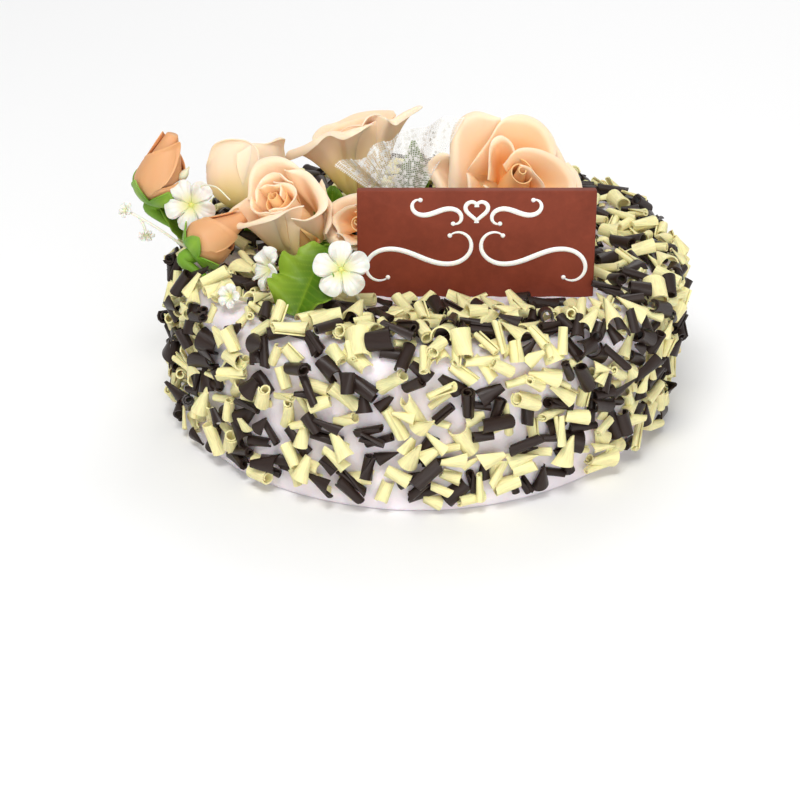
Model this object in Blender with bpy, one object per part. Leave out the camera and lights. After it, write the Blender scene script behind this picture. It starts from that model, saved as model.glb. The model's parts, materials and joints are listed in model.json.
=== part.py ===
"""Birthday cake with chocolate curls, sugar roses and a standing chocolate plaque.

A round cake covered in cream is pressed all over with rolled chocolate curls. A spray of sugar
roses, two rosebuds, white blossoms and green leaves lies on the left and back of its top, with a
fan of sparkling tulle behind a chocolate plaque that stands in the cream.

Metres, +Z up. The origin is the centre of the cake's flat base, and the plaque faces -Y. Places
and sizes in the tables are in millimetres, angles in degrees.
"""

import math

import bmesh
import bpy
import numpy as np
from mathutils import Matrix, Vector
from mathutils.bvhtree import BVHTree

MM = 0.001

# The iced cake. Its right side leans in towards the foot.
CAKE_RADIUS = 96.0 * MM
CAKE_HEIGHT = 62.5 * MM
RIM_ROUND = 9.0 * MM
FOOT_ROUND = 2.0 * MM
LEAN_IN_RIGHT = 7.0 * MM
CAKE_SEGMENTS = 56

# The gap between pieces that touch, and the one round a curl.
GAP = 0.3 * MM
CURL_GAP = 0.7 * MM

# The largest curls, spread evenly over the side and the top.
CURL_SEED = 11
CURL_COUNT = 96
CURL_TRIES = 2600
CURL_SPACING = 14.0 * MM
CURL_LENGTH = (9.5 * MM, 14.0 * MM)
CURL_DIAMETER = (3.8 * MM, 5.2 * MM)
CURL_SIDES = 5

# The plaque and the scrolls piped on its face.
PLAQUE_CENTRE_X = 17.0 * MM
PLAQUE_FACE_Y = -44.0 * MM
PLAQUE_WIDTH = 87.0 * MM
PLAQUE_THICKNESS = 3.6 * MM
PLAQUE_TOP = 104.2 * MM
PLAQUE_DEPTH_IN_CREAM = 3.0 * MM
PIPING_WIDTH = 1.7 * MM
PIPING_SUNK = 0.25 * MM

# Sheet thicknesses.
PETAL_THICKNESS = 1.3 * MM
SEPAL_THICKNESS = 1.1 * MM
BLOSSOM_THICKNESS = 1.1 * MM
LEAF_THICKNESS = 1.3 * MM
TULLE_THICKNESS = 0.9 * MM

PEACH = (0.90, 0.60, 0.38)
DEEP_PEACH = (0.72, 0.36, 0.18)
GREEN = (0.16, 0.32, 0.05)
WHITE = (0.88, 0.87, 0.80)
CREAM = (0.80, 0.76, 0.74)
BROWN = (0.23, 0.05, 0.025)
NET = (0.75, 0.74, 0.70)

# A ring of petals round a rose's heart. Each has a count, a petal's length and half width, the
# radius and height that it starts from, its tilts from the rose's axis at base, cup and lip, the
# spiral that tucks one side in, the ruffle of its edge, the first petal's angle, and the points
# across and along it.
OPEN_ROSE = (
    dict(count=4, length=24.0, width=13.0, hub=3.6, start=3.2, tilts=(70, 8, 40), spiral=0.13,
         ruffle=0.02, first=65, across=4, along=3),
    dict(count=5, length=30.0, width=18.5, hub=4.2, start=0.6, tilts=(84, 36, 78), spiral=0.10,
         ruffle=0.04, first=12, across=4, along=4),
)
CUPPED_ROSE = (
    dict(count=3, length=28.0, width=14.0, hub=3.2, start=3.2, tilts=(56, 2, 24), spiral=0.15,
         ruffle=0.03, first=80, across=4, along=3),
    dict(count=4, length=34.0, width=20.5, hub=3.8, start=0.6, tilts=(76, 6, 60), spiral=0.12,
         ruffle=0.05, first=15, across=4, along=4),
)
CLOSED_ROSE = (
    dict(count=3, length=23.0, width=13.0, hub=3.2, start=3.2, tilts=(60, 4, 6), spiral=0.15,
         ruffle=0.02, first=80, across=4, along=3),
    dict(count=4, length=30.5, width=18.5, hub=3.8, start=0.6, tilts=(80, 14, 0), spiral=0.12,
         ruffle=0.05, first=15, across=4, along=4),
)
FLARED_ROSE = (
    dict(count=3, length=30.0, width=13.0, hub=3.0, start=3.0, tilts=(44, 4, 20), spiral=0.15,
         ruffle=0.04, first=30, across=4, along=3),
    dict(count=4, length=40.0, width=22.0, hub=3.4, start=0.6, tilts=(46, 20, 74), spiral=0.12,
         ruffle=0.09, first=60, across=5, along=4),
)
SMALL_ROSE = (
    dict(count=3, length=17.0, width=9.5, hub=2.4, start=2.4, tilts=(58, 2, 30), spiral=0.15,
         ruffle=0.02, first=75, across=4, along=3),
    dict(count=4, length=22.0, width=14.0, hub=2.8, start=0.5, tilts=(74, 14, 70), spiral=0.12,
         ruffle=0.03, first=30, across=4, along=3),
)

# Each rose: its rings, its heart's radius and length, its hip, its axis, a turn about it, its
# calyx's size, and the foot of its stem in the cream.
ROSES = {
    "rose_open": dict(rings=OPEN_ROSE, heart=(6.4, 21.0), hip=(30.0, -6.0, 87.5),
                      axis=(-0.03, -0.70, 0.71), turn=46, calyx=12.0, stem=(31.0, 9.0)),
    "rose_flared": dict(rings=FLARED_ROSE, heart=(5.6, 26.0), hip=(-26.0, 19.0, 77.0),
                        axis=(-0.12, 0.22, 0.97), turn=0, calyx=12.0, stem=(-26.0, 16.0)),
    "rose_cupped": dict(rings=CUPPED_ROSE, heart=(6.2, 24.0), hip=(-46.0, -15.0, 70.5),
                        axis=(-0.48, -0.34, 0.81), turn=0, calyx=12.0, stem=(-44.0, -14.0)),
    "rose_turned_away": dict(rings=CLOSED_ROSE, heart=(6.0, 20.0), hip=(-69.5, 8.0, 75.0),
                             axis=(0.06, 0.30, 0.95), turn=-60, calyx=12.0, stem=(-70.0, 7.0)),
    "rose_small": dict(rings=SMALL_ROSE, heart=(4.6, 16.0), hip=(-20.5, -16.0, 77.0),
                       axis=(-0.30, -0.70, 0.64), turn=0, calyx=9.0, stem=(-17.0, -9.0)),
}

# Each rosebud: its foot, its axis, its length and radius, a turn about its axis, its calyx's
# size, and the foot of its stem.
BUDS = {
    "bud_upright": dict(foot=(-104.5, 3.0, 82.5), axis=(0.27, 0.05, 0.96), size=(27.0, 10.4),
                        turn=150, calyx=18.0, stem=(-85.0, 9.0)),
    "bud_lying": dict(foot=(-88.5, -21.0, 70.2), axis=(0.80, 0.57, 0.16), size=(25.0, 8.4),
                      turn=200, calyx=14.8, stem=(-84.0, -26.0)),
}

# Each blossom: its centre, the way that it faces, its radius, its petals' tilt, a turn, and the
# foot of its stem.
BLOSSOMS = {
    "blossom_front": dict(centre=(-31.8, -65.0, 82.2), facing=(0.05, -0.92, 0.38), radius=10.4,
                          tilt=72, turn=20, stem=(-23.0, -56.0)),
    "blossom_left": dict(centre=(-90.6, -7.0, 84.2), facing=(-0.10, -0.90, 0.40), radius=10.4,
                         tilt=66, turn=50, stem=(-82.0, -5.0)),
    "blossom_side": dict(centre=(-59.5, -46.5, 75.0), facing=(-0.85, -0.42, 0.32), radius=9.2,
                         tilt=60, turn=0, stem=(-50.0, -40.0)),
    "blossom_edge": dict(centre=(-73.0, -56.0, 68.0), facing=(-0.45, -0.80, 0.40), radius=5.0,
                         tilt=58, turn=10, stem=(-64.0, -48.0)),
}

# Each leaf: its foot, the direction of its midrib, the direction that its face looks, its length
# and half width, its edge's ruffle, its fold along the midrib and its droop as shares, and the
# foot of its stalk.
LEAVES = {
    "leaf_front": dict(foot=(-37.8, -43.0, 81.5), rib=(-0.37, -0.74, -0.54),
                       face=(-0.35, -0.45, 0.82), size=(33.0, 11.8), ruffle=0.07, fold=0.28,
                       droop=0.03, points=(7, 8), stem=(-35.0, -36.0)),
    "leaf_under_cupped": dict(foot=(-38.5, -25.0, 66.0), rib=(0.02, -0.45, 0.62),
                              face=(0.10, -0.60, 0.75), size=(14.0, 6.5), ruffle=0.03, fold=0.20,
                              droop=0.05, points=(5, 6), stem=(-39.0, -22.0)),
    "leaf_between": dict(foot=(-38.0, 2.0, 66.0), rib=(0.06, -0.05, 0.95), face=(0.05, -0.85, 0.30),
                         size=(22.0, 8.0), ruffle=0.03, fold=0.25, droop=0.05, points=(5, 6),
                         stem=(-38.0, 4.0)),
    "leaf_behind_tulle": dict(foot=(-9.0, 2.0, 68.0), rib=(0.10, 0.03, 0.97),
                              face=(0.35, -0.90, 0.20), size=(38.0, 7.0), ruffle=0.03, fold=0.30,
                              droop=0.02, points=(5, 6), stem=(-9.0, 4.0)),
    "leaf_under_bud": dict(foot=(-86.0, 2.0, 65.5), rib=(-0.80, 0.02, 0.60),
                           face=(0.45, -0.65, 0.60), size=(22.0, 6.0), ruffle=0.03, fold=0.22,
                           droop=-0.04, points=(5, 6), stem=(-82.0, 4.0)),
}

# The tulle: gathered at its foot and fanned out from the left, over the top, to the right.
TULLE_FOOT = (-8.0, -9.0, 80.0)
TULLE_FAN = (-54.0, 30.0)
TULLE_REACHES = (34.0, 29.0, 31.0, 34.0, 43.0)
TULLE_FOLDS = 3.5
TULLE_FOLD_DEPTH = 2.8
TULLE_BACKWARDS = 9.0

# The sprig: a wire that leaves the spray over the cake's left edge, and a twig that hangs off it,
# each with a tiny blossom at its end.
SPRIG_WIRE = ((-81.0, -8.0, 62.0), (-92.0, -12.5, 69.0), (-102.0, -15.0, 77.5), (-109.5, -13.0, 81.5), (-114.5, -11.0, 83.5))
SPRIG_TWIG = ((-109.5, -13.0, 81.5), (-108.0, -13.5, 78.5), (-107.0, -14.0, 75.0))
SPRIG_FACINGS = ((-0.5, -0.5, 0.5), (0.1, -0.7, -0.4))
SPRIG_BLOSSOM = 3.8
WIRE_RADIUS = 0.55

# Piped S-scrolls, each mirrored left and right: the middle of the stroke from the plaque's
# middle, its heading there, its length, its bend in radians a millimetre at the start, which
# falls evenly to the opposite bend at the end, and its points. The heart between the upper two
# has a middle and a width.
STROKES = (
    dict(middle=(21.0, -6.5), heading=24, length=70.0, bend=0.25, points=17),
    dict(middle=(14.5, 11.0), heading=-22, length=31.0, bend=-0.50, points=11),
)
HEART = dict(middle=11.5, width=9.0, points=8)
HEART_OVERLAP = 0.4
PLAQUE_MIDDLE = 85.0


def clear_scene():
    for obj in list(bpy.data.objects):
        bpy.data.objects.remove(obj)


def material(name, colour, roughness):
    made = bpy.data.materials.new(name)
    made.use_nodes = True
    shader = made.node_tree.nodes["Principled BSDF"]
    shader.inputs["Base Color"].default_value = (*colour, 1.0)
    shader.inputs["Roughness"].default_value = roughness
    shader.inputs["Metallic"].default_value = 0.0
    made.diffuse_color = (*colour, 1.0)
    return made


def smooth(t):
    """0 below 0, 1 above 1 and an S-curve between."""
    t = np.clip(t, 0.0, 1.0)
    return t * t * (3.0 - 2.0 * t)


def mesh_object(name, points, faces):
    mesh = bpy.data.meshes.new(name)
    mesh.from_pydata([tuple(p) for p in points], [], faces)
    obj = bpy.data.objects.new(name, mesh)
    bpy.context.scene.collection.objects.link(obj)
    return obj


def tidy_mesh(obj):
    """Turns the faces outwards and splits them into triangles."""
    body = bmesh.new()
    body.from_mesh(obj.data)
    bmesh.ops.recalc_face_normals(body, faces=body.faces)
    bmesh.ops.triangulate(body, faces=body.faces)
    body.to_mesh(obj.data)
    body.free()
    return obj


def apply_modifiers(obj):
    graph = bpy.context.evaluated_depsgraph_get()
    mesh = bpy.data.meshes.new_from_object(obj.evaluated_get(graph))
    obj.modifiers.clear()
    obj.data = mesh


def placed(origin, axis, turn=0.0):
    """A matrix that takes +Z to the axis at the origin, after a turn about +Z in degrees."""
    look = Vector(axis).normalized().to_track_quat("Z", "Y").to_matrix()
    spin = Matrix.Rotation(math.radians(turn), 3, "Z")
    return Matrix.Translation(Vector(origin)) @ (look @ spin).to_4x4()


def band_faces(rows, columns, closed=False):
    """Quads between rows of points, joined end to start where closed."""
    reach = columns if closed else columns - 1
    faces = []
    for r in range(rows - 1):
        for c in range(reach):
            after = (c + 1) % columns
            faces.append((r * columns + c, r * columns + after, (r + 1) * columns + after, (r + 1) * columns + c))
    return faces


def ring_body(name, rings):
    """A closed body through rings of points, with a flat cap at each end."""
    rows, columns = rings.shape[:2]
    faces = band_faces(rows, columns, closed=True)
    faces.append(tuple(range(columns))[::-1])
    faces.append(tuple(range((rows - 1) * columns, rows * columns)))
    return tidy_mesh(mesh_object(name, rings.reshape(-1, 3), faces))


def thick_sheet(obj, thickness):
    """A closed thin solid from an open sheet, with both faces split into triangles alike."""
    tidy_mesh(obj)
    solid = obj.modifiers.new("thickness", "SOLIDIFY")
    solid.thickness = thickness
    solid.offset = 0.0
    apply_modifiers(obj)
    return tidy_mesh(obj)


def grid_sheet(name, grid, thickness, place):
    """A thin solid on a grid of points."""
    rows, columns = grid.shape[:2]
    obj = mesh_object(name, grid.reshape(-1, 3), band_faces(rows, columns))
    obj.data.transform(place)
    return thick_sheet(obj, thickness)


def fuse(name, parts, surface):
    """One solid from overlapping parts. EXACT is slow on this many crossing sheets."""
    base, *others = parts
    if others:
        helper = bpy.data.collections.new(name + "_parts")
        for part in others:
            bpy.context.scene.collection.objects.unlink(part)
            helper.objects.link(part)
        union = base.modifiers.new("fuse", "BOOLEAN")
        union.operation = "UNION"
        union.operand_type = "COLLECTION"
        union.collection = helper
        union.solver = "MANIFOLD"
        apply_modifiers(base)
        for part in list(helper.objects):
            bpy.data.objects.remove(part)
        bpy.data.collections.remove(helper)
    base.name = name
    base.data.name = name
    base.data.materials.clear()
    base.data.materials.append(surface)
    return keep_largest(base)


def cut(obj, cutter):
    """Takes the cutter's space out of obj, then removes the cutter."""
    away = obj.modifiers.new("cut", "BOOLEAN")
    away.operation = "DIFFERENCE"
    away.object = cutter
    away.solver = "MANIFOLD"
    apply_modifiers(obj)
    bpy.data.objects.remove(cutter)
    return keep_largest(obj)


def keep_largest(obj):
    """Drops the scraps that a Boolean leaves beside the main solid."""
    body = bmesh.new()
    body.from_mesh(obj.data)
    left = set(body.verts)
    shells = []
    while left:
        shell = set()
        edge = [left.pop()]
        while edge:
            vertex = edge.pop()
            shell.add(vertex)
            for link in vertex.link_edges:
                other = link.other_vert(vertex)
                if other in left:
                    left.discard(other)
                    edge.append(other)
        shells.append(shell)
    shells.sort(key=len)
    scraps = [vertex for shell in shells[:-1] for vertex in shell]
    bmesh.ops.delete(body, geom=scraps, context="VERTS")
    body.to_mesh(obj.data)
    body.free()
    return obj


def box(name, low, high):
    body = bmesh.new()
    bmesh.ops.create_cube(body, size=1.0)
    mesh = bpy.data.meshes.new(name)
    body.to_mesh(mesh)
    body.free()
    low, high = Vector(low), Vector(high)
    mesh.transform(Matrix.Translation((low + high) / 2) @ Matrix.Diagonal((*(high - low), 1.0)))
    obj = bpy.data.objects.new(name, mesh)
    bpy.context.scene.collection.objects.link(obj)
    return obj


def tube(name, points, radii, sides, side=None):
    """A closed tube through the points, with one radius at each.

    Its first corners lie in the direction of side, and are carried along it with no twist.
    """
    points = [Vector(p) for p in points]
    rings = np.zeros((len(points), sides, 3))
    for k, point in enumerate(points):
        ahead = (points[min(k + 1, len(points) - 1)] - points[max(k - 1, 0)]).normalized()
        side = side or ahead.orthogonal()
        side = (side - ahead * side.dot(ahead)).normalized()
        up = ahead.cross(side)
        for s in range(sides):
            angle = math.tau * s / sides
            rings[k, s] = point + (side * math.cos(angle) + up * math.sin(angle)) * float(radii[k])
    return ring_body(name, rings)


def profile_curve(length, hub, start, tilts):
    """A petal's midline as radius, height and tilt at even steps along it.

    It leaves the hub and turns from the base tilt to the cup tilt to the lip tilt.
    """
    base, cup, lip = (math.radians(t) for t in tilts)
    t = np.linspace(0.0, 1.0, 41)
    tilt = cup + (base - cup) * np.clip(1 - t / 0.4, 0, 1) ** 1.5 + (lip - cup) * smooth((t - 0.5) / 0.5)
    step = length / 40
    out = hub + np.concatenate([[0], np.cumsum((np.sin(tilt[1:]) + np.sin(tilt[:-1])) / 2 * step)])
    rise = start + np.concatenate([[0], np.cumsum((np.cos(tilt[1:]) + np.cos(tilt[:-1])) / 2 * step)])
    return t, out, rise, tilt


def petal_grid(ring, sway, phase):
    """A petal as a function of u across it and v along it, round the flower's axis.

    The crown rounds its top, the spiral tucks one side in, its side edges roll back, and the
    ruffle is a sine that grows towards the edge. Sway makes one petal differ from the next.
    """
    length = ring["length"] * (1 + 0.07 * sway) * MM
    half_width = ring["width"] * (1 + 0.05 * sway) * MM
    base, cup, lip = ring["tilts"]
    tilts = (base, cup + 3 * sway, lip * (1 + 0.15 * math.sin(2.6 * phase)))
    t, out, rise, tilt = profile_curve(length, ring["hub"] * MM, ring["start"] * MM, tilts)
    across, along = np.linspace(-1, 1, ring["across"]), np.linspace(0, 1, ring["along"])
    u, v = np.meshgrid(across, along, indexing="ij")
    reach = v * (1 - 0.30 * np.abs(u) ** 2.6)
    radius, height, lean = (np.interp(reach, t, values) for values in (out, rise, tilt))
    width = half_width * (0.25 + 0.75 * np.sin(np.minimum(reach / 0.66, 1.0) * math.pi / 2))
    widest = math.pi / ring["count"] * (0.92 + 0.38 * smooth((reach - 0.12) / 0.3))
    angle = u * np.minimum(width / np.maximum(radius, 1 * MM), widest)
    wave = ring["ruffle"] * length * reach**4 * np.sin(5.2 * u + phase) * (0.4 + 0.6 * np.abs(u))
    roll = 0.05 * length * np.abs(u) ** 4 * smooth((reach - 0.3) / 0.4)
    radius = radius * (1 + ring["spiral"] * u) + (wave + roll) * np.cos(lean)
    height = height - (wave + roll) * np.sin(lean)
    return np.stack([radius * np.cos(angle), radius * np.sin(angle), height], axis=-1)


def scroll_bud(name, length, radius, widest, blunt, twist, place, sides, rows):
    """A rolled bud, widest at that share of its length and narrower at its foot by the blunt share.

    Its radius grows once round it, so the last petal's outer edge shows as a step that winds up
    to the tip.
    """
    h, w = np.meshgrid(np.linspace(0, 1, rows), np.linspace(0, 1, sides), indexing="ij")
    below, above = np.clip(1 - h / widest, 0, 1), np.clip((h - widest) / (1 - widest), 0, 1)
    swell = 1 - blunt * below**2 - 0.78 * above**1.5
    angle = math.tau * (w * (1 - 0.25 / sides) + twist * h)
    girth = radius * swell * (0.84 + 0.18 * w)
    rings = np.stack([girth * np.cos(angle), girth * np.sin(angle), length * h], axis=-1)
    obj = ring_body(name, rings)
    obj.data.transform(place)
    return obj


def rose(name, surface):
    """A heart of rolled petals inside rings of opening ones."""
    made = ROSES[name]
    place = placed(Vector(made["hip"]) * MM, made["axis"], made["turn"])
    radius, length = made["heart"]
    parts = [scroll_bud("heart", length * MM, radius * MM, 0.35, 0.25, 0.6, place, 8, 5)]
    for ring in made["rings"]:
        for k in range(ring["count"]):
            sway = math.sin(2.4 * k + ring["first"])
            grid = petal_grid(ring, sway, 1.9 * k)
            turn = math.radians(ring["first"] + 360.0 * k / ring["count"] + 5 * sway)
            spot = place @ Matrix.Rotation(turn, 4, "Z")
            parts.append(grid_sheet("petal", grid, PETAL_THICKNESS, spot))
    return fuse(name, parts, surface)


def lobed_sheet(name, lobes, shares, rows, radius, notch, tilts, thickness, place):
    """A thin solid cup with lobes, such as five petals or five sepals joined at the throat.

    Round it, w runs from -1 to 1 over each lobe, and the rim's distance from the throat falls
    from the radius at w = 0 to notch times that between lobes, by the shares given as (w, share).
    """
    angles, reaches = [], []
    for lobe in range(lobes):
        for w, share in shares:
            angles.append(math.tau * (lobe + w / 2) / lobes)
            reaches.append(notch + (1 - notch) * share)
    t, out, rise, _ = profile_curve(radius, 0.0, 0.0, tilts)
    points = [(0.0, 0.0, 0.0)]
    for row in range(1, rows + 1):
        for angle, reach in zip(angles, reaches):
            s = row / rows * reach
            r, z = np.interp(s, t, out), np.interp(s, t, rise)
            points.append((r * math.cos(angle), r * math.sin(angle), z))
    count = len(angles)
    faces = [(0, 1 + k, 1 + (k + 1) % count) for k in range(count)]
    faces += [tuple(1 + corner for corner in face) for face in band_faces(rows, count, closed=True)]
    obj = mesh_object(name, points, faces)
    obj.data.transform(place)
    return thick_sheet(obj, thickness)


SEPALS = ((-1.0, 0.0), (0.0, 1.0))
PETALS = ((-1.0, 0.0), (-0.70, 0.88), (0.0, 1.0), (0.70, 0.88))


def stem(place, *path):
    """A round stem along the path, a (point, radius) at a time, and down to its place."""
    foot = Vector((place[0] * MM, place[1] * MM, CAKE_HEIGHT - MM))
    points = [point for point, _ in path] + [foot]
    radii = [radius * MM for _, radius in path]
    return tube("stem", points, radii + [radii[-1]], 6)


def stand_on_cream(obj):
    """Cuts off flat what would sink below the cream's top."""
    reach = 2 * CAKE_RADIUS
    low = (RIM_ROUND / 2 - CAKE_RADIUS, -reach, 0.0)
    return cut(obj, box("cream_cutter", low, (reach, reach, CAKE_HEIGHT + GAP)))


def calyx(name, hip, axis, size, tilts, foot, rows, surface):
    """Five pointed sepals in one cup just under the hip, on a stem."""
    axis = Vector(axis).normalized()
    below = Vector(hip) * MM - axis * (SEPAL_THICKNESS / 2 + GAP)
    spot = placed(below, axis, 20)
    sepals = lobed_sheet("sepals", 5, SEPALS, rows, size * MM, 0.42, tilts, SEPAL_THICKNESS, spot)
    neck = below - axis * 0.3 * size * MM
    path = [(below, 2.4), (neck, 1.7)]
    return fuse(name, [sepals, stem(foot, *path)], surface)


def bud_body(made, grown=0.0):
    """A rosebud's body, grown all round where it serves as a cutter."""
    axis = Vector(made["axis"]).normalized()
    place = placed(Vector(made["foot"]) * MM - axis * grown, axis, made["turn"])
    length, radius = made["size"]
    return scroll_bud("bud", length * MM + 2 * grown, radius * MM + grown, 0.28, 0.5, 0.4, place, 12, 7)


def bud(name, surface):
    return fuse(name, [bud_body(BUDS[name])], surface)


def blossom(name, surface):
    """Five rounded petals joined in a short throat, on a thin stem."""
    made = BLOSSOMS[name]
    facing, radius = Vector(made["facing"]).normalized(), made["radius"] * MM
    throat = Vector(made["centre"]) * MM - facing * 0.35 * radius
    spot = placed(throat, facing, made["turn"])
    tilts = (45, made["tilt"], made["tilt"] + 22)
    parts = [lobed_sheet("petals", 5, PETALS, 2, radius * 1.06, 0.36, tilts, BLOSSOM_THICKNESS, spot)]
    parts.append(stem(made["stem"], (throat, 0.8), (throat - facing * 0.4 * radius, 0.8)))
    return stand_on_cream(fuse(name, parts, surface))


def leaf_grid(size, ruffle, fold, droop, points):
    """A leaf as a function of u across and v along: an oval blade, folded up along its midrib,
    with an edge that waves and a tip that droops."""
    length, half_width = size[0] * MM, size[1] * MM
    u, v = np.meshgrid(np.linspace(-1, 1, points[0]), np.linspace(0, 1, points[1]), indexing="ij")
    blade = half_width * (np.sin(math.pi * (v * 0.93 + 0.05)) ** 0.75) * (1.18 - 0.36 * v)
    wave = ruffle * length * np.abs(u) ** 2 * np.sin(11.0 * v + 1.1 * np.sign(u)) * smooth(v * 4)
    z = fold * np.abs(u * blade) + wave - droop * length * v**2 * 2
    return np.stack([u * blade, length * v, z], axis=-1)


def leaf(name, surface):
    made = LEAVES[name]
    rib = Vector(made["rib"]).normalized()
    face = Vector(made["face"])
    face = (face - rib * face.dot(rib)).normalized()
    turned = Matrix((rib.cross(face), rib, face)).transposed().to_4x4()
    place = Matrix.Translation(Vector(made["foot"]) * MM) @ turned
    grid = leaf_grid(made["size"], made["ruffle"], made["fold"], made["droop"], made["points"])
    blade = grid_sheet(name, grid, LEAF_THICKNESS, place)
    stalk = stem(made["stem"], (place @ Vector((0, 2 * MM, 0)), 0.9))
    return stand_on_cream(fuse(name, [blade, stalk], surface))


def tulle_grid(across, along):
    """A fan of net as a function of u round it and v outwards, with folds that deepen outwards."""
    u, v = np.meshgrid(np.linspace(0, 1, across), np.linspace(0, 1, along), indexing="ij")
    angle = np.radians(TULLE_FAN[0] + (TULLE_FAN[1] - TULLE_FAN[0]) * u)
    rim = np.interp(u, np.linspace(0, 1, len(TULLE_REACHES)), TULLE_REACHES)
    reach = 5.0 + (rim - 5.0) * v
    fold = TULLE_FOLD_DEPTH * v * np.sin(math.tau * TULLE_FOLDS * u + 0.6)
    x = TULLE_FOOT[0] + reach * np.sin(angle)
    y = TULLE_FOOT[1] + fold + TULLE_BACKWARDS * u * v
    z = TULLE_FOOT[2] + reach * np.cos(angle)
    return np.stack([x, y, z], axis=-1) * MM


def tulle(surface):
    """The fan of net with its gathered foot."""
    body = grid_sheet("fan", tulle_grid(15, 4), TULLE_THICKNESS, Matrix.Identity(4))
    foot = Vector(TULLE_FOOT) * MM
    tie = stem((TULLE_FOOT[0], TULLE_FOOT[1] + 2.0), (foot + Vector((0, 0, 7 * MM)), 1.6), (foot, 1.6))
    return stand_on_cream(fuse("tulle", [body, tie], surface))


def sprig(surface):
    """Two tiny blossoms on a branching wire."""
    parts = []
    for path, facing in zip((SPRIG_WIRE, SPRIG_TWIG), SPRIG_FACINGS):
        points = [Vector(p) * MM for p in path]
        parts.append(tube("wire", points, [WIRE_RADIUS * MM] * len(points), 5))
        spot = placed(points[-1] - Vector(facing).normalized() * MM, facing)
        size = SPRIG_BLOSSOM * MM
        parts.append(lobed_sheet("petals", 5, SEPALS, 1, size, 0.5, (40, 55, 70), 0.9 * MM, spot))
    return stand_on_cream(fuse("sprig", parts, surface))


def stroke(middle, heading, length, bend, points):
    """An S-scroll: a flat curve whose bend falls evenly from one end to its opposite at the other."""
    fine = np.linspace(-0.5, 0.5, 401) * length
    way = math.radians(heading) - bend * fine**2 / length
    ahead = (way[1:] + way[:-1]) / 2
    x = np.concatenate([[0], np.cumsum(np.cos(ahead) * np.diff(fine))])
    z = np.concatenate([[0], np.cumsum(np.sin(ahead) * np.diff(fine))])
    picked = np.linspace(0, 400, points).astype(int)
    return np.stack([x - x[200] + middle[0], z - z[200] + middle[1]], axis=-1)[picked]


def heart_half(middle, width, points):
    """The right half of a heart, as sines and cosines of t from its cleft to its tip."""
    t = np.linspace(0.0, math.pi, points)
    x = 16 * np.sin(t) ** 3
    z = 13 * np.cos(t) - 5 * np.cos(2 * t) - 2 * np.cos(3 * t) - np.cos(4 * t)
    return np.stack([x, z], axis=-1) * width / 32 + np.array([-HEART_OVERLAP, middle])


def plaque(surface):
    """The slab with its piped scrolls."""
    bottom = CAKE_HEIGHT - PLAQUE_DEPTH_IN_CREAM + GAP
    low = (PLAQUE_CENTRE_X - PLAQUE_WIDTH / 2, PLAQUE_FACE_Y, bottom)
    high = (PLAQUE_CENTRE_X + PLAQUE_WIDTH / 2, PLAQUE_FACE_Y + PLAQUE_THICKNESS, PLAQUE_TOP)
    parts = [tidy_mesh(box("slab", low, high))]
    lines = [stroke(**made) for made in STROKES] + [heart_half(**HEART)]
    for line in lines:
        for side in (-1, 1):
            points = [
                Vector((PLAQUE_CENTRE_X + side * x * MM, PLAQUE_FACE_Y + PIPING_SUNK, (PLAQUE_MIDDLE + z) * MM))
                for x, z in line
            ]
            parts.append(tube("piping", points, [PIPING_WIDTH / 2] * len(points), 4, Vector((0, -1, 0))))
    return fuse("plaque", parts, surface)


def skin_radius(angle, height):
    """The cake's radius at a height: full above, and drawn in at the foot of its right side."""
    lean = LEAN_IN_RIGHT * smooth((math.cos(angle) + 0.2) / 1.2)
    return CAKE_RADIUS - lean * (1 - height / CAKE_HEIGHT)


def cake_body():
    """The iced cake: a round wall, a rounded rim and a flat top and base."""
    profile = [(FOOT_ROUND, 0.0), (0.0, FOOT_ROUND), (0.0, 0.5 * CAKE_HEIGHT)]
    for k in range(4):
        turn = math.pi / 2 * k / 3
        profile.append((RIM_ROUND * (1 - math.cos(turn)), CAKE_HEIGHT - RIM_ROUND * (1 - math.sin(turn))))
    rings = np.zeros((len(profile), CAKE_SEGMENTS, 3))
    for row, (inset, height) in enumerate(profile):
        for s in range(CAKE_SEGMENTS):
            angle = math.tau * s / CAKE_SEGMENTS
            radius = skin_radius(angle, height) - inset
            rings[row, s] = (radius * math.cos(angle), radius * math.sin(angle), height)
    return ring_body("cake", rings)


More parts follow.
